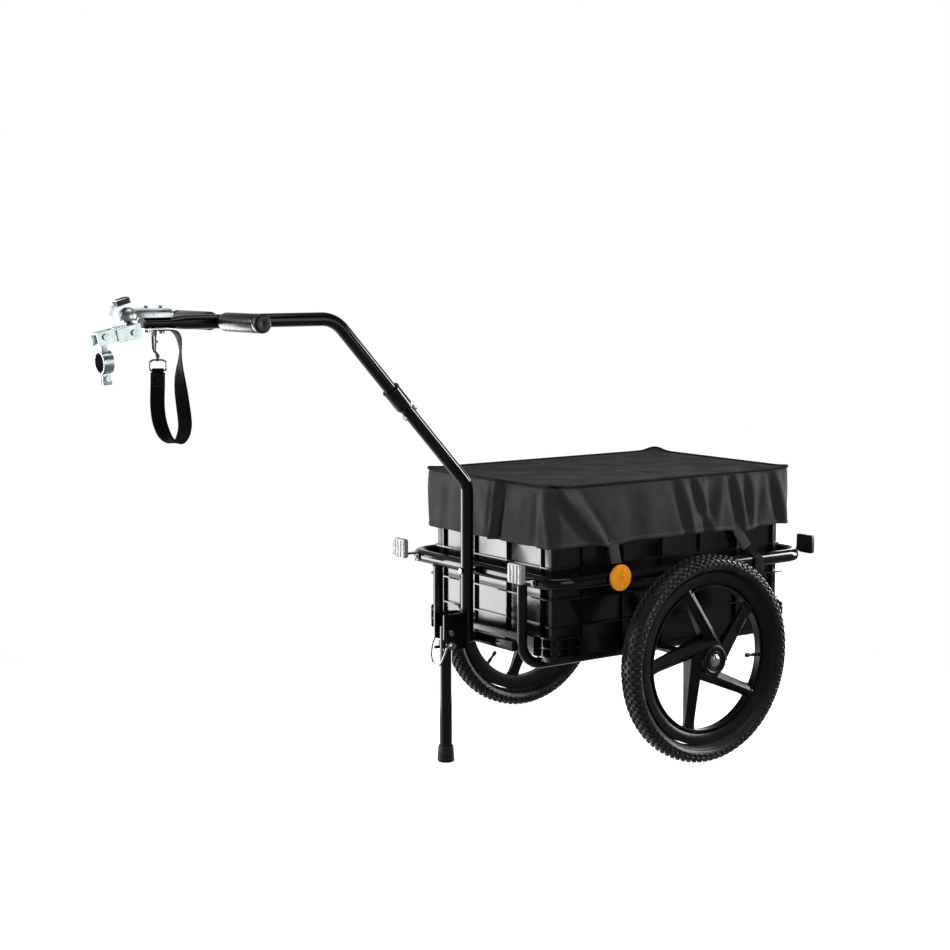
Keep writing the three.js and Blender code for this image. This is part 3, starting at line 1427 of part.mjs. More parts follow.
// The strap's route, as [x, z] points, with the direction of its width in degrees from +Y towards -X.
const strapTop = anchorFoot - tetherThickness / 2 - fitGap;
const tetherRoute = [
  [1005.5, strapTop, 0], [984, strapTop, 0], [974, strapTop - 3, 0], [968, strapTop - 11, -4],
  [965, 826, -12], [964, 812, -20], [965, 796, -12], [966, 778, 6], [965.5, 758, 26], [963.5, 738, 40],
  [961, 718, 46], [958.5, 698, 48], [958, 682, 44], [962, 666, 36], [971, 655.5, 28], [983, 656, 30],
  [994, 665, 40], [1002, 680, 52], [1007.5, 700, 60], [1009.5, 724, 66], [1008.5, 750, 68],
  [1007.5, 777.2, ringDegrees],
];

function tetherStrap() {
  const half = tetherWidth / 2;
  const thin = tetherThickness / 2;
  const rings = tetherRoute.map(([x, z, turn], i) => {
    const before = tetherRoute[Math.max(i - 1, 0)];
    const after = tetherRoute[Math.min(i + 1, tetherRoute.length - 1)];
    const run = at(after[0] - before[0], 0, after[1] - before[1]).normalize();
    const angle = degrees(turn);
    const across = at(-Math.sin(angle), Math.cos(angle), 0);
    across.addScaledVector(run, -across.dot(run)).normalize();
    const out = run.clone().cross(across).normalize();
    const centre = at(x, 0, z);
    const spot = (a, b) => centre.clone().addScaledVector(across, a).addScaledVector(out, b);
    const soft = half - thin;
    return [
      spot(-soft, -thin), spot(soft, -thin), spot(half, -thin / 2), spot(half, thin / 2),
      spot(soft, thin), spot(-soft, thin), spot(-half, thin / 2), spot(-half, -thin / 2),
    ];
  });
  const boltHole = upright(headBoltPlaces[0], strapTop, strapTop, boltBore);
  return join(cut(loft(rings), boltHole), strapEye());
}

// The strap's end is sewn into a small loop round the bar of the ring.
function strapEye() {
  const half = ringHalfWidth - 2 * ringWire - 2 * fitGap;
  const inner = ringWire + fitGap;
  const outer = inner + tetherThickness;
  const profile = closedProfile([[inner, -half], [outer, -half], [outer, half], [inner, half]]);
  return turned(profile, ringBar, ringAlong);
}

place(trailer, "tether_strap", tetherStrap(), webbing);

function tetherRing() {
  const spot = (across, up) => ringBar.clone().addScaledVector(ringAlong, across).add(at(0, 0, up));
  const wire = [
    spot(-ringHalfWidth, 0), spot(ringHalfWidth, 0),
    spot(ringHalfWidth, ringDrop), spot(-ringHalfWidth, ringDrop),
  ];
  const swivel = rod(spot(0, ringDrop), spot(0, ringDrop + hookRadius * 2), hookRadius);
  return join(pipe(wire, 2 * ringWire, ringWire, 6, true), swivel);
}
place(trailer, "tether_ring", tetherRing(), steel);

function snapHook() {
  const foot = ringBar.clone().setZ(ringBar.z + ringDrop + hookRadius * 2 + 2 * fitGap);
  const eyeMiddle = at(eyePlace + eyeRadius, 0, anchorFoot - eyeRadius);
  const clear = eyeWire + 2 * fitGap;
  const thin = hookRadius / 2;
  const under = at(eyeMiddle.x, 0, eyeMiddle.z - eyeRadius - clear - thin);
  const bow = eyeRadius - eyeWire;
  const bowCorners = [
    under, at(under.x, -bow - clear, under.z), at(under.x, -bow - clear, eyeMiddle.z),
  ];
  const shank = rod(foot, under, hookRadius, smallSides, thin);
  return join(shank, pipe(bowCorners, [0, thin, 0], thin, 6));
}
place(trailer, "snap_hook", snapHook(), steel);

// The origin goes to the middle of the footprint

trailer.updateMatrixWorld(true);
const bounds = new THREE.Box3().setFromObject(trailer, true);
const middle = bounds.getCenter(new THREE.Vector3());
trailer.position.set(-middle.x, -middle.y, -bounds.min.z);

const part = new THREE.Group();
part.add(trailer);
export default part;
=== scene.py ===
"""Cargo bike trailer: a covered crate in a tube frame on two wheels, with a goose-neck drawbar.

Lengths in the tables below are millimetres from the wheels' axle, and spot() turns them into the scene's
metres. +X points forward to the bicycle, +Y to the trailer's left and +Z up.
"""

import json
import math
import random

import bmesh
import bpy
from mathutils import Matrix, Quaternion, Vector, noise

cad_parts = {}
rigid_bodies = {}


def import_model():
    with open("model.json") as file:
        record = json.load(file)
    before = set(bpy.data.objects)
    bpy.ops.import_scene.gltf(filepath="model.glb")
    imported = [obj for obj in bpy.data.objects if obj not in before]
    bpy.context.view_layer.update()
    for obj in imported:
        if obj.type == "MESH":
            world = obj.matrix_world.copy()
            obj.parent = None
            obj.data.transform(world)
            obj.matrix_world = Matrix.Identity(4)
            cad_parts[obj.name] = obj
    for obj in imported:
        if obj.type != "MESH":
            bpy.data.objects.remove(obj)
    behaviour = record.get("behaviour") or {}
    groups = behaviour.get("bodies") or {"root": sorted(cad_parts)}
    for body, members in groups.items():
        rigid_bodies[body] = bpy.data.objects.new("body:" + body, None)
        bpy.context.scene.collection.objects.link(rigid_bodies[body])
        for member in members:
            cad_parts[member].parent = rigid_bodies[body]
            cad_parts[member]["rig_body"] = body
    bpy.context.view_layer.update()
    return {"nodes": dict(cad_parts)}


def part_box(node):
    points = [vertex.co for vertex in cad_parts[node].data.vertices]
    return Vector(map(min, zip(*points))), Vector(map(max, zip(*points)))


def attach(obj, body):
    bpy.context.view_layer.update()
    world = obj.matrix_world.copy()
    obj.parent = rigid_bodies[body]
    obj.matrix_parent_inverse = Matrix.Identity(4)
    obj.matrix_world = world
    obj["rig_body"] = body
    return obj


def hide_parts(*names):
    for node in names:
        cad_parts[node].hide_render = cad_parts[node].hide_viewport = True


bl_info = {
    "name": "Cargo Bike Trailer",
    "version": (1, 0, 0),
    "blender": (4, 5, 0),
    "location": "3D Viewport > Sidebar > Trailer",
    "description": "Dresses the frame of a cargo bike trailer with finished pieces",
    "category": "Add Mesh",
}

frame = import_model()
NODES = frame["nodes"]
MM = 0.001
AXLE_X = sum(corner.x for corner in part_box("left_tyre")) / 2
X, Y, Z = Vector((1, 0, 0)), Vector((0, 1, 0)), Vector((0, 0, 1))
SIDES = (("left", 1), ("right", -1))

# Camera
CAMERA_PLACE = (2428.0, 2890.7, 967.7)
CAMERA_LOOK = (-0.58199, -0.80504, -0.11486)
CAMERA_LENS = 70.37
SENSOR_WIDTH = 36.0

# Frame
RAIL_RADIUS = 12.5
RAIL_HEIGHT = 371
RAIL_FRONT = 329
RAIL_REAR = -322
RAIL_HALF = 239
RAIL_BEND = 50
LOOP_RADIUS = 10
LOOP_OFFSET = 139
LOOP_BEND = 46
LOOP_FOOT = 203
MEMBER_SIZE = 20
MEMBER_HEIGHT = 240
BEAD = 1.8

# Drawbar
BAR_RADIUS = 12.5
BAR_BACK = 357.3
BAR_FOOT = 232
BAR_KNEE = 539
BAR_SHOULDER = (654, 862)
KNEE_BEND = 45
SHOULDER_BEND = 60
SLEEVE_END = (532.6, 729.4)
SLEEVE_LENGTH = 44
SLEEVE_RADIUS = 16.4
BAR_FLAT = 950
BAR_TIP = 1036
FLAT_SHARES = (33 / 25, 18 / 25)
HANDLE_PLACE = 890
HANDLE_HALF = 157
HANDLE_RADIUS = 9.5
GRIP_RADIUS = 16.5
GRIP_START = 25.5
GRIP_END = 160.5

# Wheels
WHEEL_HEIGHT = 203
WHEEL_OFFSET = 293
TYRE_MIDDLE = 185.4
TYRE_HALF_HEIGHT = 14.6
TYRE_HALF_WIDTH = 22.6
BEAD_ANGLE = -68
TYRE_STEPS = 144
KNOB_ROWS = (
    (81.2, 8.6, 5.6, 0.0, 1.0), (63.5, 9.2, 6.0, 0.5, 1.0), (45.5, 8.6, 6.2, 0.0, 1.0),
    (26.5, 8.2, 6.4, 0.5, 1.0), (5.0, 6.6, 8.0, 0.0, 0.6),
)
KNOB_COUNT = 84
RIM_PROFILE = (
    (139, -8), (149, -10.6), (167.8, -10.6), (167.8, -8), (157, -6.5), (157, 6.5), (167.8, 8), (167.8, 10.6),
    (156, 10.6), (149, 8.2), (147.4, 6.8), (147, -1), (142, -1), (142, 7), (141, 8), (139, 7.4),
)
RIM_RIBS = 10
SPOKE_COUNT = 5
SPOKE_FIRST = -2.4
SPOKE_OFFSET = 28
SPOKE_TIP = 147.5
HUB_HALF = 28
HUB_RADIUS = 30
BEARING_RADIUS = 15.7
BEARING_HALF = 26.5
RIGHT_WHEEL_TURN = 44

# Cover
COVER_HALF = (311.0, 210.5)
COVER_MIDDLE = 2
COVER_CORNER = 22
COVER_TOP = 547
COVER_BORDER = 22
COVER_HEM = 435.5
COVER_CELLS = (150, 100)
SKIRT_STEPS = 28
CLOTH = 1.3
STRAP_PLACES = (165, -178)
STRAP_WIDTH = 25
STRAP_THICK = 1.8

# Sky: a direction, the range of its cosine, and the brightness at both ends of that range
SKY = (((0.1, -0.99, 0.02), -0.05, 0.75, 0.14, 0.9), ((0, 0, 1), 0.55, 0.95, 0.0, 0.15))
SKY_DUSK = ((0, 0, 1), 0.18, 0.5, 1.0, 0.3)

FLOOR_RADIUS = 1.4

# Lights: place and aim in metres, width and height, radiance, and whether it is left out of diffuse or
# glossy light
LIGHTS = {
    "Overhead": ((0.0, 0.2, 3.2), (0, 0, 0.3), 2.0, 1.2, 1.2, False, True),
    "Softbox": ((0.78, -1.16, 0.34), (0.0, 0, 0.34), 0.8, 0.95, 8.6, False, True),
    "Front strip": ((2.05, -1.6, 1.1), (0, 0, 0.45), 0.16, 0.9, 162.0, True, False),
    "Front line": ((2.3, -1.25, 1.7), (0, 0, 0.45), 0.25, 0.9, 34.0, False, True),
    "Fill": ((0.54, 2.55, 1.05), (-0.3, 0.2, 0.45), 0.6, 0.6, 26.5, True, False),
    "Right strip": ((-1.9, 0.8, 0.9), (0, 0.25, 0.45), 0.5, 1.2, 18.0, True, True),
    "Rear card": ((-2.2, -0.55, 0.25), (-0.37, 0.3, 0.35), 1.5, 1.1, 6.0, False, True),
    "Coupling card": ((0.17, 1.1, 0.9), (0.69, 0, 0.86), 1.0, 0.7, 1.15, False, True),
}

# Tether: places along and up, and the direction of the strap's width in degrees from +Y towards -X
TETHER_ROUTE = (
    (1005.5, 849, 0), (984, 849, 0), (974, 846, 0), (968, 838, -4), (965, 826, -12), (964, 812, -20),
    (965, 796, -12), (966, 778, 6), (965.5, 758, 26), (963.5, 738, 40), (961, 718, 46), (958.5, 698, 48),
    (958, 682, 44), (962, 666, 36), (971, 655.5, 28), (983, 656, 30), (994, 665, 40), (1002, 680, 52),
    (1007.5, 700, 60), (1009.5, 724, 66), (1008.5, 750, 68), (1007.5, 777.2, 68),
)
TETHER_WIDTH = 25
TETHER_THICK = 2
RING_PLACE = (1007.5, 780.5)
RING_DEGREES = 68

# Coupling, from the ball's middle
BALL_PLACE = (1062, 873)
TILT = math.radians(11.7)

# Stand
STAND_PLACE = 408
PIN_HEIGHT = 231.5


# Places, directions and routes


def spot(x, y, z):
    """A place in millimetres from the axle, in the scene's metres."""
    return Vector((AXLE_X + x * MM, y * MM, z * MM))


def about(place, direction):
    """A matrix that puts local Z along a direction, at a place."""
    turn = Z.rotation_difference(Vector(direction).normalized())
    return Matrix.Translation(place) @ turn.to_matrix().to_4x4()


def bike_matrix():
    """The tilted frame of the bicycle's half of the coupling, with its origin in the ball."""
    return Matrix.Translation(spot(BALL_PLACE[0], 0, BALL_PLACE[1])) @ Matrix.Rotation(TILT, 4, "Y")


def wheel_matrix(sign, turned=True):
    """A wheel's own frame: its axle along Y, its outer face towards +Y."""
    place = Matrix.Translation(spot(0, sign * WHEEL_OFFSET, WHEEL_HEIGHT))
    flip = Matrix.Rotation(0 if sign > 0 else math.pi, 4, "Z")
    turn = math.radians(RIGHT_WHEEL_TURN) if turned and sign < 0 else 0
    return place @ flip @ Matrix.Rotation(-turn, 4, "Y")


def route(corners, bend, step=6.0, closed=False):
    """Places and directions along straight stretches that are joined by round bends."""
    stations = []
    count = len(corners)
    if not closed:
        stations.append((corners[0], (corners[1] - corners[0]).normalized()))
    for i in range(count) if closed else range(1, count - 1):
        here = corners[i]
        before = (here - corners[i - 1]).normalized()
        after = (corners[(i + 1) % count] - here).normalized()
        turn = before.angle(after)
        reach = bend * math.tan(turn / 2)
        centre = here + (after - before).normalized() * (bend / math.cos(turn / 2))
        start = here - before * reach
        axis = before.cross(after).normalized()
        steps = max(2, math.ceil(math.degrees(turn) / step))
        for k in range(steps + 1):
            swing = Quaternion(axis, turn * k / steps)
            stations.append((centre + swing @ (start - centre), swing @ before))
    if closed:
        stations.append(stations[0])
    else:
        stations.append((corners[-1], (corners[-1] - corners[-2]).normalized()))
    return stations


def carried(stations, across=None):
    """A matrix for each station, its Z along the route, turned as little as it can be from one to the next."""
    place, direction = stations[0]
    side = across or (Y if abs(direction.dot(Y)) < 0.9 else X)
    matrices = []
    before = None
    for place, direction in stations:
        if before is not None:
            side = before.rotation_difference(direction) @ side
        side = (side - direction * side.dot(direction)).normalized()
        turn = Matrix((side, direction.cross(side), direction)).transposed().to_4x4()
        matrices.append(Matrix.Translation(place) @ turn)
        before = direction
    return matrices


def smooth_line(points, parts):
    """More points on a smooth line through the given ones (any tuple of numbers)."""
    line = []
    for i in range(len(points) - 1):
        a, b = points[max(i - 1, 0)], points[i]
        c, d = points[i + 1], points[min(i + 2, len(points) - 1)]
        for k in range(parts):
            t = k / parts
            line.append(
                tuple(
                    0.5 * (2 * q + (r - p) * t + (2 * p - 5 * q + 4 * r - s) * t**2
                           + (3 * q - p - 3 * r + s) * t**3)
                    for p, q, r, s in zip(a, b, c, d)
                )
            )
    line.append(tuple(points[-1]))
    return line


# Mesh makers: each adds to a bmesh, in metres


def ring_of(bm, points):
    """A closed loop of edges through a few points."""
    verts = [bm.verts.new(p) for p in points]
    edges = [bm.edges.new((a, b)) for a, b in zip(verts, verts[1:] + verts[:1])]
    return verts, edges


def round_section(radius, sides=28, flat=(1, 1)):
    angles = [2 * math.pi * i / sides for i in range(sides)]
    return [Vector((radius * flat[0] * math.cos(a), radius * flat[1] * math.sin(a), 0)) for a in angles]


def strap_section(width, thick):
    """A flat band's section: its width along X and its faces rounded at both edges."""
    half, thin = width / 2, thick / 2
    outline = []
    for sign, start in ((1, -90), (-1, 90)):
        for k in range(4):
            a = math.radians(start + 60 * k)
            outline.append(Vector((sign * (half - thin) + thin * math.cos(a), thin * math.sin(a), 0)))
        for share in (0.5, 0.0, -0.5):
            outline.append(Vector((sign * share * (half - thin), sign * thin, 0)))
    return outline


def sweep(bm, section, matrices, closed=False, caps=True, map_run=True):
    """Carries a section along matrices by extruding its edges, with its run kept as a UV map."""
    uv = bm.loops.layers.uv.verify()
    verts, edges = ring_of(bm, [matrices[0] @ p for p in section])
    if caps and not closed:
        bmesh.ops.contextual_create(bm, geom=edges)
    run = 0.0
    made = list(verts)
    for old, new in zip(matrices, matrices[1:]):
        result = bmesh.ops.extrude_edge_only(bm, edges=edges)["geom"]
        fresh = [g for g in result if isinstance(g, bmesh.types.BMVert)]
        fresh_set = set(fresh)
        edges = [
            g for g in result
            if isinstance(g, bmesh.types.BMEdge) and g.verts[0] in fresh_set and g.verts[1] in fresh_set
        ]
        bmesh.ops.transform(bm, matrix=new @ old.inverted(), verts=fresh)
        step = (new.translation - old.translation).length
        if map_run:
            back_old, back_new = old.inverted(), new.inverted()
            for face in (g for g in result if isinstance(g, bmesh.types.BMFace)):
                for loop in face.loops:
                    ahead = loop.vert in fresh_set
                    local = (back_new if ahead else back_old) @ loop.vert.co
                    loop[uv].uv = (local.x, run + (step if ahead else 0))
        run += step
        made += fresh
    if caps and not closed:
        bmesh.ops.contextual_create(bm, geom=edges)
    return made


def tube(bm, corners, bend, radius, sides=28, closed=False, step=6.0):
    stations = route(corners, bend, step, closed)
    sweep(bm, round_section(radius, sides), carried(stations), closed)


def lathe(bm, profile, matrix, steps=48, angle=2 * math.pi, closed=False):
    """Spins a profile of (radius, along) millimetres round local Z."""
    points = [matrix @ (Vector((r, 0, a)) * MM) for r, a in profile]
    verts = [bm.verts.new(p) for p in points]
    pairs = list(zip(verts, verts[1:]))
    if closed:
        pairs.append((verts[-1], verts[0]))
    edges = [bm.edges.new(pair) for pair in pairs]
    full = angle > 2 * math.pi - 1e-6
    bmesh.ops.spin(
        bm, geom=verts + edges, cent=matrix.translation, axis=matrix.to_3x3() @ Z, dvec=(0, 0, 0),
        angle=angle, steps=steps, use_merge=full, use_normal_flip=False, use_duplicate=False,
    )
    bmesh.ops.remove_doubles(bm, verts=[v for v in bm.verts if v.is_valid], dist=1e-7)


def block(bm, low, high, matrix=None, bevel=0.0, segments=2):
    """A box between two corners in metres, in a matrix's frame, with rounded edges."""
    low, high = Vector(low), Vector(high)
    place = Matrix.Translation((low + high) / 2) @ Matrix.Diagonal((*(high - low), 1))
    if matrix:
        place = matrix @ place
    made = bmesh.ops.create_cube(bm, size=1, matrix=place)["verts"]
    if bevel:
        edges = list({e for v in made for e in v.link_edges})
        bmesh.ops.bevel(
            bm, geom=edges, offset=bevel, segments=segments, profile=0.5, affect="EDGES",
            material=-1, clamp_overlap=True,
        )


def round_panel(bm, half_x, half_y, corner, low, high, matrix, rim=0.0):
    """A plate with rounded corners between two heights of a matrix's frame, all in metres."""
    outline = []
    for quarter, (sx, sy) in enumerate(((1, 1), (-1, 1), (-1, -1), (1, -1))):
        for k in range(5):
            a = (quarter + k / 4) * math.pi / 2
            outline.append((sx * (half_x - corner) + corner * math.cos(a),
                            sy * (half_y - corner) + corner * math.sin(a)))
    _, edges = ring_of(bm, [matrix @ Vector((x, y, low)) for x, y in outline])
    base = bmesh.ops.contextual_create(bm, geom=edges)["faces"]
    out = bmesh.ops.extrude_face_region(bm, geom=base)["geom"]
    top = [g for g in out if isinstance(g, bmesh.types.BMVert)]
    bmesh.ops.translate(bm, verts=top, vec=matrix.to_3x3() @ Vector((0, 0, high - low)))
    if rim:
        face = [g for g in out if isinstance(g, bmesh.types.BMFace)]
        edges = list({e for f in face for e in f.edges})
        bmesh.ops.bevel(
            bm, geom=edges, offset=rim, segments=3, profile=0.5, affect="EDGES", material=-1,
            clamp_overlap=True,
        )


def bridged(bm, rings):
    """A closed body through rings of points, each filled at the body's ends."""
    loops = [ring_of(bm, ring)[1] for ring in rings]
    bmesh.ops.contextual_create(bm, geom=loops[0])
    bmesh.ops.contextual_create(bm, geom=loops[-1])
    for a, b in zip(loops, loops[1:]):
        bmesh.ops.bridge_loops(bm, edges=a + b)


def hexagon(bm, matrix, across, depth):
    """A hexagon head or nut with its corners taken off, standing on a matrix's XY plane."""
    r = across / math.sqrt(3) / 1
    lathe(bm, [(0, 0), (r * 0.92, 0), (r, depth * 0.12), (r, depth * 0.82), (r * 0.86, depth), (0, depth)],
          matrix, steps=6)


def piece(name, bm, finish, body, replaces=(), smooth=32.0, merge=1e-6):
    """A finished piece from a bmesh: merged, faces out, smooth where its faces nearly meet."""
    bmesh.ops.remove_doubles(bm, verts=bm.verts, dist=merge)
    bmesh.ops.recalc_face_normals(bm, faces=bm.faces)
    mesh = bpy.data.meshes.new(name)
    bm.to_mesh(mesh)
    bm.free()
    return dressed(name, mesh, finish, body, replaces, smooth)


def dressed(name, mesh, finish, body, replaces=(), smooth=32.0):
    mesh.shade_smooth()
    mesh.set_sharp_from_angle(angle=math.radians(smooth))
    mesh.materials.clear()
    mesh.materials.append(FINISHES[finish])
    made = bpy.data.objects.new(name, mesh)
    bpy.context.scene.collection.objects.link(made)
    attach(made, body)
    if replaces:
        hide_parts(*replaces)
    return made


def rounded(made, width, segments=2, angle=32.0):
    """Rounds a piece's edges with a live bevel."""
    bevel = made.modifiers.new("Rounded edges", "BEVEL")
    bevel.width = width * MM
    bevel.segments = segments
    bevel.limit_method = "ANGLE"
    bevel.angle_limit = math.radians(angle)
    bevel.harden_normals = True
    bevel.use_clamp_overlap = True
    return made


def refined(node, finish, width=0.5, segments=2, angle=32.0):
    """A copy of a CAD node with its triangles merged into whole faces and its edges rounded."""
    bm = bmesh.new()
    bm.from_mesh(NODES[node].data)
    bmesh.ops.remove_doubles(bm, verts=bm.verts, dist=1e-6)
    bmesh.ops.dissolve_limit(
        bm, angle_limit=math.radians(1.0), use_dissolve_boundaries=False, verts=bm.verts, edges=bm.edges,
    )
    mesh = bpy.data.meshes.new(node + "_fine")
    bm.to_mesh(mesh)
    bm.free()
    made = dressed(node + "_fine", mesh, finish, NODES[node]["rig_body"], (node,), angle)
    return rounded(made, width, segments, angle)


# Finishes


class Finish:
    """A material under construction: a Principled shader with helpers for its nodes."""

    def __init__(self, name, colour, roughness, metallic=0.0, **sockets):
        self.material = bpy.data.materials.new(name)
        self.material.use_nodes = True
        self.tree = self.material.node_tree
        self.shader = next(n for n in self.tree.nodes if n.type == "BSDF_PRINCIPLED")
        self.colour, self.roughness = colour, roughness
        self.shader.inputs["Base Color"].default_value = (*colour, 1)
        self.shader.inputs["Roughness"].default_value = roughness
        self.shader.inputs["Metallic"].default_value = metallic
        for socket, value in sockets.items():
            self.shader.inputs[socket.replace("_", " ")].default_value = value
        self.bump_end = None
        FINISHES[name] = self.material

    def node(self, kind, inputs=None, **settings):
        made = self.tree.nodes.new(kind)
        for key, value in settings.items():
            setattr(made, key, value)
        for key, value in (inputs or {}).items():
            if isinstance(value, bpy.types.NodeSocket):
                self.tree.links.new(value, made.inputs[key])
            else:
                made.inputs[key].default_value = value
        return made

    def place(self, scale=(1, 1, 1), centre=(0, 0, 0), source="Object", turn=(0, 0, 0)):
        """Coordinates in metres, from a centre."""
        coordinates = self.node("ShaderNodeTexCoord")
        shift = self.node(
            "ShaderNodeMapping", {"Vector": coordinates.outputs[source], "Location": [-c for c in centre]}
        )
        return self.node(
            "ShaderNodeMapping", {"Vector": shift.outputs[0], "Rotation": turn, "Scale": scale}
        ).outputs[0]

    def noise(self, scale, detail=3.0, place=None, roughness=0.55):
        return self.node(
            "ShaderNodeTexNoise",
            {"Vector": place or self.place(), "Scale": scale, "Detail": detail, "Roughness": roughness},
        ).outputs["Fac"]

    def cells(self, scale, place=None, feature="F1"):
        return self.node(
            "ShaderNodeTexVoronoi", {"Vector": place or self.place(), "Scale": scale}, feature=feature
        ).outputs["Distance"]

    def math(self, operation, a, b=0.0, clamp=False):
        return self.node("ShaderNodeMath", {0: a, 1: b}, operation=operation, use_clamp=clamp).outputs[0]

    def ranged(self, value, low, high, start=0.0, end=1.0):
        return self.node(
            "ShaderNodeMapRange",
            {"Value": value, "From Min": start, "From Max": end, "To Min": low, "To Max": high},
        ).outputs[0]

    def tint(self, share, other):
        """Mixes the base colour towards another by a share from the nodes."""
        before = self.shader.inputs["Base Color"]
        first = before.links[0].from_socket if before.links else (*before.default_value[:3], 1)
        mix = self.node("ShaderNodeMix", {"Factor": share}, data_type="RGBA")
        for index, value in ((6, first), (7, (*other, 1))):
            if isinstance(value, bpy.types.NodeSocket):
                self.tree.links.new(value, mix.inputs[index])
            else:
                mix.inputs[index].default_value = value
        self.tree.links.new(mix.outputs[2], before)

    def rough(self, value, low, high, start=0.3, end=0.7):
        self.tree.links.new(self.ranged(value, low, high, start, end), self.shader.inputs["Roughness"])

    def bump(self, height, strength, distance):
        made = self.node("ShaderNodeBump", {"Height": height, "Strength": strength, "Distance": distance})
        if self.bump_end:
            self.tree.links.new(self.bump_end, made.inputs["Normal"])
        self.bump_end = made.outputs[0]
        self.tree.links.new(self.bump_end, self.shader.inputs["Normal"])


FINISHES = {}


def weave(finish, scale, strength, distance, place):
    """A plain weave: threads over and under along both directions of a map. Its height is returned, and the nylon and
    webbing finishes also use it to paint shade into the hollows and highlight onto the crests.
    """
    parts = finish.node("ShaderNodeSeparateXYZ", {0: place})
    across = finish.math("SINE", finish.math("MULTIPLY", parts.outputs[0], scale))
    along = finish.math("SINE", finish.math("MULTIPLY", parts.outputs[1], scale))
    height = finish.math("MULTIPLY", across, along)
    finish.bump(height, strength, distance)
    return height


def make_finishes(colours):
    """Makes every finish of the trailer."""
    paint = Finish("black_paint", colours.paint, 0.12)
    paint.rough(paint.noise(9, 4), 0.09, 0.16)
    paint.bump(paint.noise(620, 2), 0.04, 0.0004)

    shell = Finish("crate_plastic", colours.crate, 0.16, Specular_IOR_Level=0.55)
    shell.rough(shell.noise(14, 5), 0.1, 0.24)
    shell.tint(shell.ranged(shell.noise(5, 4), 0, 0.5, 0.45, 0.75), (0.008, 0.008, 0.0085))
    shell.bump(shell.noise(60, 3), 0.08, 0.0012)
    shell.bump(shell.noise(1400, 2), 0.03, 0.0003)

    moulded = Finish("wheel_plastic", colours.wheel, 0.32, Specular_IOR_Level=0.22)
    moulded.rough(moulded.noise(18, 4), 0.26, 0.4)
    moulded.tint(moulded.ranged(moulded.noise(7, 5), 0, 0.5, 0.4, 0.7), (0.011, 0.011, 0.0115))
    moulded.bump(moulded.cells(1500), 0.12, 0.0003)

    trim = Finish("trim_plastic", colours.wheel, 0.45)
    trim.rough(trim.noise(40, 4), 0.38, 0.52)
    trim.bump(trim.cells(2200), 0.1, 0.0002)

    rubber = Finish("tyre_rubber", colours.rubber, 0.45)
    rubber.rough(rubber.noise(25, 5), 0.22, 0.42)
    rubber.tint(rubber.ranged(rubber.noise(11, 5), 0, 0.6, 0.4, 0.75), (0.022, 0.0215, 0.021))
    centre = (AXLE_X, 0, WHEEL_HEIGHT * MM)
    parts = rubber.node("ShaderNodeSeparateXYZ", {0: rubber.place(centre=centre)})
    reach = rubber.math(
        "SQRT",
        rubber.math(
            "ADD", rubber.math("POWER", parts.outputs[0], 2.0), rubber.math("POWER", parts.outputs[2], 2.0)
        ),
    )
    lines = rubber.math("SINE", rubber.math("MULTIPLY", reach, 2600.0))
    side = rubber.ranged(reach, 1.0, 0.0, 0.183, 0.186)
    rubber.bump(rubber.math("MULTIPLY", lines, side), 0.25, 0.0006)
    rubber.bump(rubber.noise(900, 3), 0.25, 0.0004)

    soft = Finish("black_rubber", colours.rubber, 0.7)
    soft.rough(soft.noise(60, 4), 0.6, 0.82)
    soft.bump(soft.noise(800, 3), 0.25, 0.0004)

    foam = Finish("grip_foam", (0.006, 0.006, 0.006), 0.3, Specular_IOR_Level=0.4)
    foam.tint(foam.ranged(foam.noise(120, 4), 0, 0.5, 0.4, 0.7), (0.014, 0.014, 0.014))
    foam.bump(foam.cells(1300), 0.03, 0.0003)
    foam.rough(foam.noise(120, 3), 0.24, 0.34)

    nylon = Finish("nylon", colours.nylon, 0.8, Specular_IOR_Level=0.12)
    cloth = nylon.place(source="UV")
    height = weave(nylon, 2 * math.pi / 0.0011, 0.35, 0.00016, cloth)
    # The weave's crests are painted lighter than the hollows between the threads: painted shade in the hollows and
    # painted highlight on the crests.
    nylon.tint(nylon.ranged(height, 0, 0.3, 0.2, 1.0), [c * 1.7 for c in colours.nylon])
    nylon.tint(nylon.ranged(nylon.noise(6, 5), 0, 0.5, 0.35, 0.7), [c * 0.72 for c in colours.nylon])
    nylon.rough(nylon.noise(18, 4), 0.6, 0.8)
    nylon.bump(nylon.noise(130, 4, roughness=0.65), 0.3, 0.0011)
    stitch_rows(nylon, cloth)

    band = Finish("webbing", colours.webbing, 0.8, Specular_IOR_Level=0.14)
    run = band.place(source="UV")
    height = weave(band, 2 * math.pi / 0.0026, 0.7, 0.0005, run)
    # The weave's crests are painted lighter than the hollows between the threads: painted shade in the hollows and
    # painted highlight on the crests.
    band.tint(band.ranged(height, 0, 0.8, -0.2, 1.0), [c * 1.8 for c in colours.webbing])
    band.rough(band.noise(200, 3), 0.62, 0.85)

    thread = Finish("thread", (0.045, 0.044, 0.044), 0.7)
    thread.bump(thread.noise(2600, 2), 0.4, 0.0002)
    thread.rough(thread.noise(500, 2), 0.6, 0.8)

    zinc = Finish("zinc", colours.zinc, 0.26, 1.0)
    zinc.tint(zinc.ranged(zinc.noise(38, 5), 0, 0.8, 0.35, 0.7), (0.58, 0.67, 0.71))
    zinc.tint(zinc.ranged(zinc.noise(22, 3, zinc.place(centre=(0.3, 0.1, 0.2))), 0, 0.45, 0.5, 0.75),
              (0.66, 0.66, 0.56))
    zinc.rough(zinc.noise(70, 5), 0.18, 0.4)
    zinc.bump(zinc.noise(420, 4), 0.12, 0.0005)

    steel = Finish("steel", (0.46, 0.46, 0.47), 0.24, 1.0)
    steel.tint(steel.ranged(steel.noise(90, 4), 0, 0.5, 0.4, 0.7), (0.32, 0.32, 0.34))
    steel.rough(steel.noise(150, 5), 0.16, 0.36)
    steel.bump(steel.noise(500, 3, steel.place((1, 8, 1))), 0.08, 0.0003)

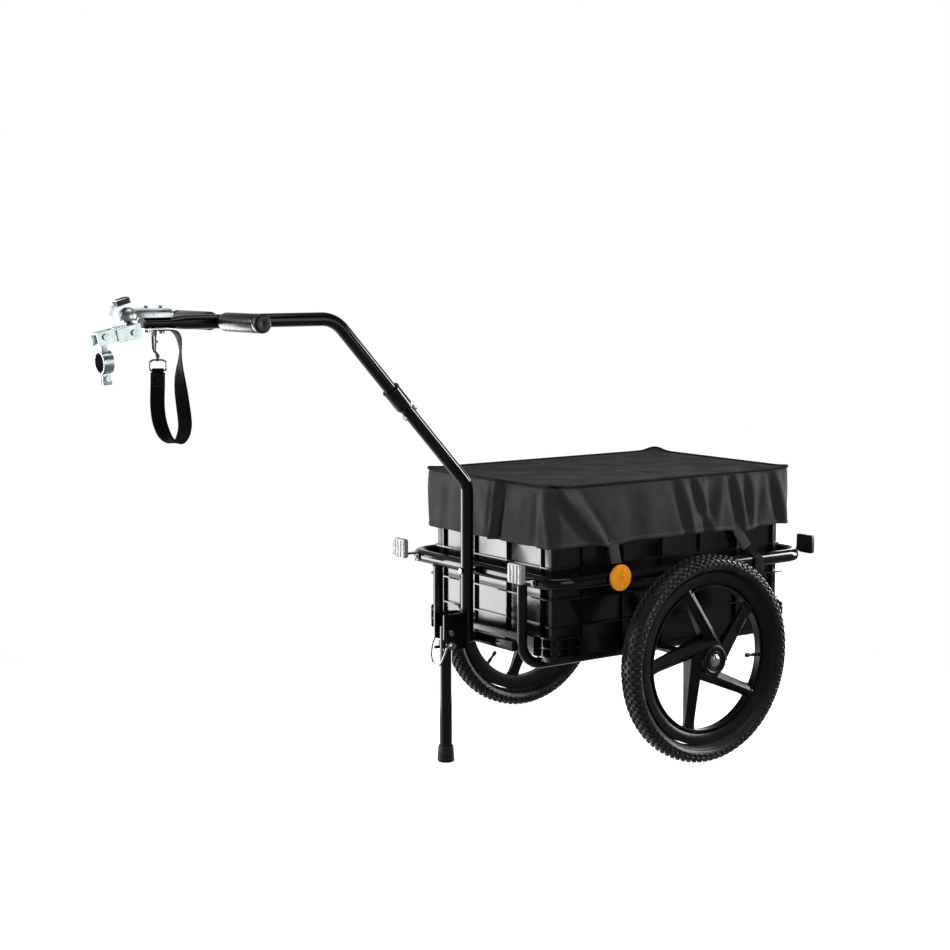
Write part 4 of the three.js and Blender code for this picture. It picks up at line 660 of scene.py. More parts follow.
    dark = Finish("dark_steel", (0.17, 0.17, 0.175), 0.2, 1.0)
    dark.rough(dark.noise(150, 5), 0.14, 0.3)
    dark.bump(dark.noise(500, 3), 0.08, 0.0003)

    clear = Finish("clear_lens", (0.16, 0.16, 0.165), 0.3, 0.0, Coat_Weight=0.35, Coat_Roughness=0.1)
    facets = clear.cells(420, clear.place((1, 1, 1)))
    clear.tint(clear.ranged(facets, 0, 0.8, 0.1, 0.6), (0.26, 0.26, 0.265))
    clear.bump(facets, 0.5, 0.0008)
    clear.rough(clear.noise(60, 2), 0.1, 0.2)

    amber = Finish("amber_lens", colours.amber, 0.2, Specular_IOR_Level=0.25, Coat_Weight=0.3, Coat_Roughness=0.03)
    facets = amber.cells(380, feature="DISTANCE_TO_EDGE")
    amber.tint(amber.ranged(facets, 0.9, 0.0, 0.0, 0.35), (1.0, 0.47, 0.03))
    amber.tint(amber.ranged(amber.cells(150), 0, 0.3, 0.2, 0.7), (0.75, 0.2, 0.0))
    amber.bump(facets, 0.6, 0.0009)

    red = Finish("red_lens", (0.16, 0.004, 0.006), 0.16, Coat_Weight=1.0, Coat_Roughness=0.03)
    facets = red.cells(420)
    red.tint(red.ranged(facets, 0, 0.8, 0.1, 0.6), (0.34, 0.008, 0.012))
    red.bump(facets, 0.5, 0.0008)


def stitch_rows(finish, cloth):
    """Rows of stitches along the cover's hem and under its top seam, where its map's third number says."""
    parts = finish.node("ShaderNodeSeparateXYZ", {0: cloth})
    dashes = finish.math("SINE", finish.math("MULTIPLY", parts.outputs[0], 2 * math.pi / 0.0042))
    dash = finish.ranged(dashes, 0, 1, -0.5, 0.1)
    drop = finish.node("ShaderNodeAttribute", attribute_name="drop", attribute_type="GEOMETRY").outputs["Fac"]
    rows = None
    for place in (0.0055, 0.1005):
        gap = finish.math("ABSOLUTE", finish.math("SUBTRACT", drop, place))
        row = finish.ranged(gap, 1, 0, 0.0, 0.0011)
        rows = row if rows is None else finish.math("MAXIMUM", rows, row)
    finish.bump(finish.math("MULTIPLY", rows, dash), 0.8, 0.0006)


# Stage


def make_camera():
    data = bpy.data.cameras.new("Camera")
    data.sensor_width = SENSOR_WIDTH
    data.lens = CAMERA_LENS
    data.clip_end = 200
    made = bpy.data.objects.new("Camera", data)
    bpy.context.scene.collection.objects.link(made)
    look = Vector(CAMERA_LOOK).normalized()
    made.matrix_world = Matrix.Translation(spot(*CAMERA_PLACE)) @ look.to_track_quat("-Z", "Y").to_matrix().to_4x4()
    bpy.context.scene.camera = made
    bpy.context.scene.view_settings.view_transform = "Standard"


def make_floor():
    bm = bmesh.new()
    bmesh.ops.create_circle(bm, cap_ends=True, segments=64, radius=FLOOR_RADIUS)
    mesh = bpy.data.meshes.new("floor")
    bm.to_mesh(mesh)
    bm.free()
    pale = Finish("floor", (0.93, 0.93, 0.93), 0.85, Specular_IOR_Level=0.1)
    pale.shader.inputs["Emission Color"].default_value = (1, 1, 1, 1)
    pale.shader.inputs["Emission Strength"].default_value = 0.85
    pale.rough(pale.noise(3, 2), 0.8, 0.9)
    mesh.materials.append(pale.material)
    floor = bpy.data.objects.new("floor", mesh)
    bpy.context.scene.collection.objects.link(floor)
    floor.visible_glossy = False
    floor.visible_diffuse = False


def make_light(name, place, aim, wide, high, radiance, diffuse, glossy):
    data = bpy.data.lights.new(name, "AREA")
    data.shape = "RECTANGLE"
    data.size = wide
    data.size_y = high
    data.energy = radiance * math.pi * wide * high
    made = bpy.data.objects.new(name, data)
    bpy.context.scene.collection.objects.link(made)
    look = (Vector(aim) - Vector(place)).normalized()
    made.matrix_world = Matrix.Translation(place) @ look.to_track_quat("-Z", "Y").to_matrix().to_4x4()
    made.visible_camera = False
    made.visible_diffuse = diffuse
    made.visible_glossy = glossy


def make_world():
    """A white studio: bright behind, beside and above the trailer, dim where the photographer stands."""
    world = bpy.data.worlds.new("Studio")
    bpy.context.scene.world = world
    world.use_nodes = True
    tree = world.node_tree
    tree.nodes.clear()
    new, link = tree.nodes.new, tree.links.new
    coordinates = new("ShaderNodeTexCoord")
    parts = []
    for direction, start, end, low, high in (*SKY, SKY_DUSK):
        facing = new("ShaderNodeVectorMath")
        facing.operation = "DOT_PRODUCT"
        facing.inputs[1].default_value = Vector(direction).normalized()
        link(coordinates.outputs["Generated"], facing.inputs[0])
        part = new("ShaderNodeMapRange")
        part.interpolation_type = "SMOOTHSTEP"
        for socket, value in zip(("From Min", "From Max", "To Min", "To Max"), (start, end, low, high)):
            part.inputs[socket].default_value = value
        link(facing.outputs["Value"], part.inputs["Value"])
        parts.append(part.outputs[0])
    side = new("ShaderNodeMath")
    side.operation = "MULTIPLY"
    link(parts[0], side.inputs[0])
    link(parts[2], side.inputs[1])
    both = new("ShaderNodeMath")
    both.operation = "MAXIMUM"
    link(side.outputs[0], both.inputs[0])
    link(parts[1], both.inputs[1])
    lit = new("ShaderNodeBackground")
    lit.inputs["Color"].default_value = (1, 1, 1, 1)
    link(both.outputs[0], lit.inputs["Strength"])
    seen = new("ShaderNodeBackground")
    seen.inputs["Color"].default_value = (1, 1, 1, 1)
    path = new("ShaderNodeLightPath")
    mix = new("ShaderNodeMixShader")
    link(path.outputs["Is Camera Ray"], mix.inputs[0])
    link(lit.outputs[0], mix.inputs[1])
    link(seen.outputs[0], mix.inputs[2])
    out = new("ShaderNodeOutputWorld")
    link(mix.outputs[0], out.inputs[0])


# Tether


def make_tether():
    """The safety strap, its ring and its snap hook."""
    points = smooth_line(TETHER_ROUTE, 4)
    matrices = []
    for i, (x, z, degrees) in enumerate(points):
        before, after = points[max(i - 1, 0)], points[min(i + 1, len(points) - 1)]
        run = Vector((after[0] - before[0], 0, after[1] - before[1])).normalized()
        turn = math.radians(degrees)
        across = Vector((-math.sin(turn), math.cos(turn), 0))
        across = (across - run * across.dot(run)).normalized()
        frame_at = Matrix((across, run.cross(across), run)).transposed().to_4x4()
        matrices.append(Matrix.Translation(spot(x, 0, z)) @ frame_at)
    bm = bmesh.new()
    sweep(bm, strap_section(TETHER_WIDTH * MM, TETHER_THICK * MM), matrices)
    strap = piece("tether_webbing", bm, "webbing", "frame", ("tether_strap",))

    bar = spot(RING_PLACE[0], 0, RING_PLACE[1])
    turn = math.radians(RING_DEGREES)
    along = Vector((-math.sin(turn), math.cos(turn), 0))
    out = along.cross(Z)
    bm = bmesh.new()
    stations = []
    for k in range(25):
        a = 2 * math.pi * k / 24
        place = bar + (out * math.cos(a) + Z * math.sin(a)) * 3.0 * MM
        stations.append((place, (Z * math.cos(a) - out * math.sin(a))))
    sweep(bm, strap_section(20 * MM, 1.7 * MM), carried(stations, along), closed=True)
    tail = [bar + Z * (-3.5 * MM) + out * (3.0 * MM), bar + Z * (-30 * MM) + out * (2.6 * MM)]
    sweep(bm, strap_section(23 * MM, 1.7 * MM), carried([(p, -Z) for p in tail], along))
    eye = piece("tether_sewn_end", bm, "webbing", "frame")

    bm = bmesh.new()
    base = bar + Z * (-17 * MM) + out * (4.0 * MM)
    box = [(-9, 10), (9, 10), (-9, -10), (9, 10), (9, -10), (-9, 10), (-9, -10), (9, -10)]
    for (a, b), (c, d) in zip(box, box[1:]):
        steps = max(2, round(math.hypot(c - a, d - b) / 3.4))
        for k in range(steps):
            t, u = (k + 0.2) / steps, (k + 0.8) / steps
            start = base + (along * (a + (c - a) * t) + Z * (b + (d - b) * t)) * MM
            end = base + (along * (a + (c - a) * u) + Z * (b + (d - b) * u)) * MM
            run = (end - start).normalized()
            sweep(bm, round_section(0.35 * MM, 5), carried([(start, run), (end, run)]))
    stitches = piece("tether_stitches", bm, "thread", "frame")

    bm = bmesh.new()
    wire = 1.7
    corners = [
        bar + along * (sign * 14 * MM) + Z * (up * MM)
        for sign, up in ((-1, 0), (1, 0), (1, 15), (0.55, 18), (-0.55, 18), (-1, 15))
    ]
    tube(bm, corners, 3.2 * MM, wire * MM, 14, closed=True, step=15)
    ring = piece("tether_d_ring", bm, "steel", "frame", ("tether_ring",))
    bm = bmesh.new()
    foot = bar + Z * (17.4 * MM)
    lathe(
        bm,
        [(0, -1.6), (2.6, -1.6), (4.2, -0.6), (4.4, 1.2), (3.2, 2.2), (2.3, 3.0), (2.3, 4.2), (3.4, 4.8),
         (3.9, 6), (3.9, 8), (3.4, 9.4), (2.6, 10.4), (0, 10.4)],
        about(foot, Z), 24,
    )
    barrel = piece("tether_swivel", bm, "dark_steel", "frame")

    bm = bmesh.new()
    top = foot + Z * (10.2 * MM)
    eye_x = spot(1013, 0, 0).x
    shank = Vector((eye_x, 0, top.z + 5 * MM))
    side = Vector((0, -1, 0))
    low, high = top.z + 4 * MM, spot(0, 0, 851.5).z
    hook = [
        top, shank, Vector((eye_x, -5.2 * MM, low + 6 * MM)), Vector((eye_x, -6.0 * MM, high - 6 * MM)),
        Vector((eye_x, -2.4 * MM, high)), Vector((eye_x, 4.2 * MM, high - 3.5 * MM)),
        Vector((eye_x, 5.6 * MM, high - 10 * MM)),
    ]
    line = [Vector(p) for p in smooth_line([tuple(p) for p in hook], 5)]
    stations = []
    for i, p in enumerate(line):
        a, b = line[max(i - 1, 0)], line[min(i + 1, len(line) - 1)]
        stations.append((p, (b - a).normalized()))
    matrices = carried(stations, side)
    sweep(bm, round_section(2.5 * MM, 12), matrices)
    start, end = Vector((eye_x, 3.0 * MM, low + 3 * MM)), Vector((eye_x, 5.4 * MM, high - 9 * MM))
    run = (end - start).normalized()
    sweep(bm, round_section(1.7 * MM, 10), carried([(start, run), (end, run)]))
    hook_piece = piece("tether_snap_hook", bm, "dark_steel", "frame", ("snap_hook",))
    bm = bmesh.new()
    lathe(bm, [(0, -3), (1.6, -3), (1.9, -2.4), (1.9, 2.4), (1.6, 3), (0, 3)],
          about(Vector((eye_x - 1.6 * MM, 4.0 * MM, (low + high) / 2 - 2 * MM)), X), 12)
    thumb = piece("tether_hook_button", bm, "dark_steel", "frame")


# Frame


def weld(bm, place, direction, radius):
    """A small bead of weld round a tube where it meets another piece."""
    turn = about(place, direction)
    profile = [(radius - 0.5, -BEAD), (radius + BEAD * 0.7, -BEAD * 0.5), (radius + BEAD, 0),
               (radius + BEAD * 0.7, BEAD * 0.6), (radius - 0.5, BEAD)]
    lathe(bm, profile, turn, 36, closed=True)


def make_frame():
    """The ring rail, the two loops under the crate, the crossmember and the axle."""
    bm = bmesh.new()
    corners = [
        spot(RAIL_FRONT, RAIL_HALF, RAIL_HEIGHT), spot(RAIL_REAR, RAIL_HALF, RAIL_HEIGHT),
        spot(RAIL_REAR, -RAIL_HALF, RAIL_HEIGHT), spot(RAIL_FRONT, -RAIL_HALF, RAIL_HEIGHT),
    ]
    tube(bm, corners, RAIL_BEND * MM, RAIL_RADIUS * MM, 32, closed=True)
    piece("rail_tube", bm, "black_paint", "frame", ("ring_rail",))

    top = RAIL_HEIGHT - RAIL_RADIUS + 1.5
    for side, sign in SIDES:
        y = sign * LOOP_OFFSET
        bm = bmesh.new()
        corners = [
            spot(RAIL_FRONT, y, top), spot(RAIL_FRONT, y, LOOP_FOOT),
            spot(RAIL_REAR, y, LOOP_FOOT), spot(RAIL_REAR, y, top),
        ]
        tube(bm, corners, LOOP_BEND * MM, LOOP_RADIUS * MM, 28)
        for x in (RAIL_FRONT, RAIL_REAR):
            weld(bm, spot(x, y, top - 1.5), Z, LOOP_RADIUS)
        name = side + "_underframe_loop"
        piece(side + "_loop_tube", bm, "black_paint", "frame", (name,))

    bm = bmesh.new()
    half = MEMBER_SIZE / 2
    front = BAR_BACK - BAR_RADIUS
    reach = LOOP_OFFSET - LOOP_RADIUS + 0.8
    block(
        bm, spot(front - MEMBER_SIZE, -reach, MEMBER_HEIGHT - half), spot(front, reach, MEMBER_HEIGHT + half),
        bevel=2.4 * MM, segments=3,
    )
    piece("crossmember_tube", bm, "black_paint", "frame", ("front_crossmember",))

    bm = bmesh.new()
    inner, outer, end = 260.7, 264.7, 319.2
    profile = [(0, end), (7.4, end), (8, end - 0.6), (8, outer), (11.4, outer), (12, outer - 0.6),
               (12, inner + 0.6), (11.4, inner), (8, inner)]
    mirrored = [(r, -a) for r, a in reversed(profile)]
    lathe(bm, profile + mirrored, about(spot(0, 0, WHEEL_HEIGHT), Y), 40)
    for _, sign in SIDES:
        weld(bm, spot(0, sign * (LOOP_OFFSET + LOOP_RADIUS), WHEEL_HEIGHT), Y, 8)
    piece("axle_rod", bm, "black_paint", "frame", ("axle_beam",))


# Drawbar


def slope():
    knee, shoulder = spot(BAR_BACK, 0, BAR_KNEE), spot(BAR_SHOULDER[0], 0, BAR_SHOULDER[1])
    return (shoulder - knee).normalized()


def make_drawbar():
    """The lower tube with its sleeve, and the upper tube with its flattened end."""
    run = slope()
    sleeve_end = spot(SLEEVE_END[0], 0, SLEEVE_END[1])
    sleeve_foot = sleeve_end - run * (SLEEVE_LENGTH * MM)
    bm = bmesh.new()
    corners = [spot(BAR_BACK, 0, BAR_FOOT), spot(BAR_BACK, 0, BAR_KNEE), sleeve_foot + run * (8 * MM)]
    tube(bm, corners, KNEE_BEND * MM, BAR_RADIUS * MM, 36, step=4)
    profile = [
        (BAR_RADIUS - 0.2, -9), (BAR_RADIUS + 1.0, -6.5), (SLEEVE_RADIUS - 0.5, -1.5), (SLEEVE_RADIUS, 1),
        (SLEEVE_RADIUS, SLEEVE_LENGTH - 3.4), (SLEEVE_RADIUS + 1.0, SLEEVE_LENGTH - 2.8),
        (SLEEVE_RADIUS + 1.2, SLEEVE_LENGTH - 1.4), (SLEEVE_RADIUS + 0.8, SLEEVE_LENGTH - 0.3),
        (SLEEVE_RADIUS - 0.6, SLEEVE_LENGTH), (BAR_RADIUS + 0.5, SLEEVE_LENGTH - 0.4),
        (BAR_RADIUS + 0.3, SLEEVE_LENGTH - 8), (BAR_RADIUS - 1.5, SLEEVE_LENGTH - 9),
    ]
    lathe(bm, profile, about(sleeve_foot, run), 48, closed=True)
    lathe(bm, [(0, -1.4), (BAR_RADIUS - 1.6, -1.4), (BAR_RADIUS - 0.1, -0.2), (BAR_RADIUS - 0.1, 2), (0, 2)],
          about(spot(BAR_BACK, 0, BAR_FOOT), Z), 36)
    weld(bm, spot(BAR_BACK - BAR_RADIUS + 0.6, 0, MEMBER_HEIGHT), X, 8.2)
    piece("lower_tube", bm, "black_paint", "frame", ("lower_drawbar",))

    bm = bmesh.new()
    level = BAR_SHOULDER[1]
    corners = [sleeve_end - run * (10 * MM), spot(*BAR_SHOULDER[:1], 0, level), spot(BAR_FLAT, 0, level)]
    matrices = carried(route(corners, SHOULDER_BEND * MM, 4))
    steps = 14
    for i in range(1, steps + 1):
        share = min(1, i / 8)
        ease = share * share * (3 - 2 * share)
        wide = 1 + (FLAT_SHARES[0] - 1) * ease
        thin = 1 + (FLAT_SHARES[1] - 1) * ease
        x = BAR_FLAT + (BAR_TIP - BAR_FLAT) * i / steps
        local = Matrix.Translation(spot(x, 0, level)) @ matrices[-1].to_3x3().normalized().to_4x4()
        if i == 1:
            straight = local
        local = Matrix.Translation(spot(x, 0, level)) @ straight.to_3x3().to_4x4()
        matrices.append(local @ Matrix.Diagonal((wide, thin, 1, 1)))
    sweep(bm, round_section(BAR_RADIUS * MM, 36), matrices)
    piece("upper_tube", bm, "black_paint", "frame", ("upper_drawbar",), smooth=40)


def make_handle():
    """The push handle and its two foam grips."""
    level = BAR_SHOULDER[1]
    bm = bmesh.new()
    lathe(
        bm, [(0, -HANDLE_HALF), (HANDLE_RADIUS, -HANDLE_HALF), (HANDLE_RADIUS, HANDLE_HALF), (0, HANDLE_HALF)],
        about(spot(HANDLE_PLACE, 0, level), Y), 32,
    )
    for _, sign in SIDES:
        weld(bm, spot(HANDLE_PLACE, sign * BAR_RADIUS * 0.97, level), Y, HANDLE_RADIUS)
    piece("handle_tube", bm, "black_paint", "frame", ("handle_bar",))
    for side, sign in SIDES:
        bm = bmesh.new()
        r, start, end = GRIP_RADIUS, GRIP_START, GRIP_END
        profile = [
            (HANDLE_RADIUS + 0.1, start + 3), (HANDLE_RADIUS + 0.6, start + 0.4), (r - 5, start),
            (r - 2.2, start + 0.9), (r - 0.7, start + 3), (r - 0.1, start + 6.5), (r, start + 12),
            (r, end - 19), (r - 0.5, end - 17), (r - 1.9, end - 16.4), (r - 1.9, end - 14.6), (r - 0.5, end - 14),
            (r, end - 12), (r, end - 4.4), (r - 0.6, end - 2.4), (r - 1.6, end - 1.2), (r - 2.4, end - 1.6),
            (HANDLE_RADIUS + 0.1, end - 2.4),
        ]
        lathe(bm, profile, about(spot(HANDLE_PLACE, 0, level), Y * sign), 40, closed=True)
        name = side + "_grip"
        piece(side + "_foam_grip", bm, "grip_foam", "frame", (name,), smooth=50)
        bm = bmesh.new()
        profile = [
            (0, end - 4), (14.0, end - 4), (14.4, end - 2.2), (14.2, end - 0.9), (13.4, end - 0.2), (12.2, end),
            (6.2, end), (4.6, end - 0.8), (3.2, end - 1.0), (2.9, end - 1.6), (2.8, end - 3.4), (0, end - 3.4),
        ]
        lathe(bm, profile, about(spot(HANDLE_PLACE, 0, level), Y * sign), 40)
        piece(side + "_grip_plug", bm, "trim_plastic", "frame", smooth=40)


# Wheels


def carcass(angle):
    """The tyre's outer skin at an angle round its section: (radius, across)."""
    a = math.radians(angle)
    swell = abs(math.cos(a)) ** 0.88
    return TYRE_MIDDLE + TYRE_HALF_HEIGHT * math.sin(a), TYRE_HALF_WIDTH * swell


def make_tyre(side, sign, sizes):
    """A tyre with staggered rows of knobs and a ribbed side."""
    matrix = wheel_matrix(sign)
    axle = matrix @ Matrix.Rotation(-math.pi / 2, 4, "X")
    bm = bmesh.new()
    half = []
    for angle in range(BEAD_ANGLE, 91, 7):
        half.append(carcass(angle))
    half.append(carcass(90))
    r, w = carcass(BEAD_ANGLE)
    half.insert(0, (r - 2.2, w - 1.8))
    side_line = []
    for i, (r, w) in enumerate(half):
        side_line.append((r, w))
        if 0 < i < len(half) - 1 and 173 < r < 176.4:
            side_line.append((r + 0.8, w + 1.15))
            side_line.append((r + 1.8, w + 1.05))
    profile = side_line[:-1] + [half[-1]] + [(r, -w) for r, w in reversed(side_line[:-1])]
    lathe(bm, profile, axle, TYRE_STEPS)
    height = sizes.knob_height
    for angle, length, width, stagger, share_up in KNOB_ROWS:
        for across in (1, -1):
            r, w = carcass(angle)
            ahead, behind = carcass(angle + 0.5), carcass(angle - 0.5)
            along = Vector((0, ahead[1] - behind[1], ahead[0] - behind[0]))
            along.y *= across
            along.normalize()
            tangent = X
            out = along.cross(tangent)
            if out.z < 0:
                out = -out
            local = Matrix((tangent, along, out)).transposed().to_4x4()
            shift = (stagger + (0.5 if across < 0 else 0)) * 2 * math.pi / KNOB_COUNT
            place = Matrix.Rotation(shift, 4, "Y") @ Matrix.Translation(Vector((0, across * w, r)) * MM)
            knob = bmesh.new()
            size = Vector((length, width, 0)) * MM / 2
            taper = 0.78
            bmesh.ops.create_cube(knob, size=1)
            for v in knob.verts:
                top = v.co.z > 0
                share = taper if top else 1.0
                v.co = Vector((2 * v.co.x * size.x * share, 2 * v.co.y * size.y * share,
                               height * share_up if top else -0.002))
            bmesh.ops.bevel(
                knob, geom=[e for e in knob.edges if max(v.co.z for v in e.verts) > 0],
                offset=0.0007, segments=1, profile=0.5, affect="EDGES", material=-1, clamp_overlap=True,
            )
            bmesh.ops.delete(knob, geom=[f for f in knob.faces if f.normal.z < -0.9], context="FACES")
            bmesh.ops.transform(knob, matrix=matrix @ place @ local, verts=knob.verts)
            turn = 2 * math.pi / KNOB_COUNT
            bmesh.ops.spin(
                knob, geom=knob.verts[:] + knob.edges[:] + knob.faces[:], cent=matrix.translation, axis=Y,
                dvec=(0, 0, 0), angle=turn * (KNOB_COUNT - 1), steps=KNOB_COUNT - 1, use_merge=False,
                use_normal_flip=False, use_duplicate=True,
            )
            holder = bpy.data.meshes.new("knobs")
            knob.to_mesh(holder)
            knob.free()
            bm.from_mesh(holder)
            bpy.data.meshes.remove(holder)
    body = side + "_wheel_body"
    piece(side + "_knobby_tyre", bm, "tyre_rubber", body, (side + "_tyre",), smooth=38, merge=1e-7)


def spoke_rings(angle):
    """The rings of one spoke, from past the hub to the rim, with a ridge along its outer face."""
    reach = math.sqrt(SPOKE_TIP**2 - SPOKE_OFFSET**2)
    foot = angle + math.acos(SPOKE_OFFSET / SPOKE_TIP)
    side = Vector((math.cos(foot), 0, math.sin(foot)))
    run = Vector((math.sin(foot), 0, -math.cos(foot)))
    rings = []
    for share in (0.0, 0.14, 0.3, 0.6, 0.84, 0.91, 0.96, 1.0):
        along = -20 + (reach + 20) * share
        half = 15 + (11.5 - 15) * share + 8 * max(0, (share - 0.84) / 0.16) ** 2
        back = 20 + (7 - 20) * share
        ridge = 25 + (7 - 25) * share
        edge = 9 + (-1 - 9) * share
        outline = (
            (-half + 1.5, -back), (half - 1.5, -back), (half, -back + 1.5), (half, edge - 1.2),
            (half - 1.6, edge), (1.3, ridge - 0.4), (0, ridge), (-1.3, ridge - 0.4), (-half + 1.6, edge),
            (-half, edge - 1.2), (-half, -back + 1.5),
        )
        rings.append([
            (run * along + side * (SPOKE_OFFSET + across) + Y * out) * MM for across, out in outline
        ])
    return rings


def make_wheel(side, sign):
    """A moulded wheel: rim, five ridged spokes and hub, with its bearing."""
    matrix = wheel_matrix(sign)
    axle = matrix @ Matrix.Rotation(-math.pi / 2, 4, "X")
    body = side + "_wheel_body"
    bm = bmesh.new()
    lathe(bm, RIM_PROFILE, axle, 144, closed=True)
    for i in range(SPOKE_COUNT):
        angle = math.radians(SPOKE_FIRST) + 2 * math.pi * i / SPOKE_COUNT
        rings = [[matrix @ p for p in ring] for ring in spoke_rings(angle)]
        bridged(bm, rings)
    for i in range(RIM_RIBS):
        turn = matrix @ Matrix.Rotation(2 * math.pi * (i + 0.35) / RIM_RIBS, 4, "Y")
        block(bm, Vector((-1.1, -1.5, 141.2)) * MM, Vector((1.1, 6.2, 148.2)) * MM, turn, 0.4 * MM, 1)
    half = HUB_HALF
    profile = [
        (BEARING_RADIUS + 0.2, -half), (24, -half), (25, -half + 1), (28.6, 8), (HUB_RADIUS, half - 3.2),
        (HUB_RADIUS - 0.6, half - 1.4), (HUB_RADIUS - 2, half - 0.3), (HUB_RADIUS - 4, half),
        (23.5, half), (22.6, half - 0.6), (20.2, half - 2.2), (18.6, half - 2.4), (18.2, half - 0.9),
        (17.4, half - 0.4), (BEARING_RADIUS + 0.9, half - 0.4), (BEARING_RADIUS + 0.2, half - 1.2),
    ]
    lathe(bm, profile, axle, 64, closed=True)
    wheel = piece(side + "_moulded_wheel", bm, "wheel_plastic", body, (side + "_wheel",), smooth=30)
    rounded(wheel, 0.7, 2, 30)

    bm = bmesh.new()
    for end in (1, -1):
        top = BEARING_HALF
        profile = [
            (8.3, top - 0.2), (11.2, top - 0.1), (11.5, top - 0.6), (11.7, top - 1.4), (13.2, top - 1.4),
            (13.4, top - 0.6), (13.7, top - 0.1), (BEARING_RADIUS - 0.3, top), (BEARING_RADIUS, top - 0.4),
            (BEARING_RADIUS, top - 7), (8.3, top - 7),
        ]
        lathe(bm, [(r, a * end) for r, a in profile], axle, 48, closed=True)
    piece(side + "_bearing_ring", bm, "dark_steel", body, (side + "_hub_bearing",))

    outer = axle if True else None
    bm = bmesh.new()
    start = 26.8
    fixed = wheel_matrix(sign, False) @ Matrix.Rotation(-math.pi / 2, 4, "X")
    lathe(bm, [(0, start - 20), (3.9, start - 20), (3.9, start), (11.6, start), (11.9, start + 0.3),
               (11.9, start + 0.9), (11.5, start + 1.2), (9.6, start + 1.2), (9.9, start + 1.6),
               (9.7, start + 2.6), (9.0, start + 3.8), (7.6, start + 4.7), (5.6, start + 5.2),
               (4.2, start + 5.3), (3.6, start + 3.4), (0, start + 3.2)], fixed, 40)
    piece(side + "_axle_screw", bm, "zinc", "frame", (side + "_axle_bolt",))

    bm = bmesh.new()
    valve = math.radians(184)
    direction = Vector((math.cos(valve), 0, math.sin(valve)))
    place = matrix.to_3x3() @ direction
    stem = matrix.translation + place * (106 * MM)
    profile = [(0, 0), (2.0, 0), (2.9, 0.8), (3.1, 2.2), (4.1, 2.8), (4.3, 4), (4.3, 9), (3.9, 10), (0, 10)]
    lathe(bm, profile, about(stem, place), 20)
    piece(side + "_valve_top", bm, "trim_plastic", body, (side + "_valve_cap",))
    bm = bmesh.new()
    middle = matrix.translation + place * (116 * MM)
    profile = [(0, 0), (2.6, 0), (2.6, 8), (3.5, 10), (3.6, 24), (4.8, 28), (5.2, 50), (0, 50)]
    lathe(bm, profile, about(middle, place), 20)
    ring = [(182 + 10.5 * math.cos(a), 10.5 * math.sin(a)) for a in
            [2 * math.pi * k / 12 for k in range(12)]]
    lathe(bm, ring, axle, 48, closed=True)
    piece(side + "_tube_and_valve", bm, "black_rubber", body, (side + "_inner_tube",))


# Crate


def make_crate():
    """The stacking crate, its mouldings kept from the frame and its edges rounded."""
    refined("crate", "crate_plastic", 1.1, 2, 40)


# Cover


def skirt_fold(face, run, drop):
    """How far the skirt stands out, in millimetres, at a place along a face and a share of its drop."""
    rise = 0.0
    for top, foot, width, depth in FOLDS[face]:
        here = top + (foot - top) * drop
        away = (run - here) / width
        ridge = math.exp(-(away**2)) - 0.9 * math.exp(-((away - 1.6) ** 2))
        rise += depth * ridge * math.sin(math.pi * min(1, 0.14 + drop * 0.6))
    return rise


# For each face: a fold's place at the top and at the hem, its half width and its depth
FOLDS = {
    "left": (
        (300, 190, 17, 8.0), (252, 168, 12, -4.0), (84, 66, 26, 2.6), (-6, -44, 11, 6.5), (-46, -92, 9, 6.5),
        (-84, -78, 9, -3.4), (-118, -104, 12, 4.0), (-150, -184, 10, 7.0), (-190, -206, 9, 4.0),
        (-226, -216, 12, -4.4), (-262, -296, 11, 7.0),
    ),
    "right": (
        (270, 214, 15, 6.5), (150, 128, 13, 4.0), (60, 44, 16, -3.0), (-40, -64, 12, 5.6), (-130, -112, 14, 4.0),
        (-190, -214, 12, 5.6), (-270, -232, 13, 6.0),
    ),
    "front": (
        (46, 20, 10, 9.0), (22, 4, 8, -6.0), (164, 150, 11, -6.5), (188, 198, 9, 5.6), (112, 96, 24, 2.6),
        (-70, -52, 16, 1.8), (-140, -158, 14, 2.2),
    ),
    "rear": (
        (150, 120, 14, 5.6), (60, 74, 16, -3.4), (-20, -44, 13, 5.6), (-110, -92, 15, 4.0), (-160, -178, 12, 5.6),
    ),
}


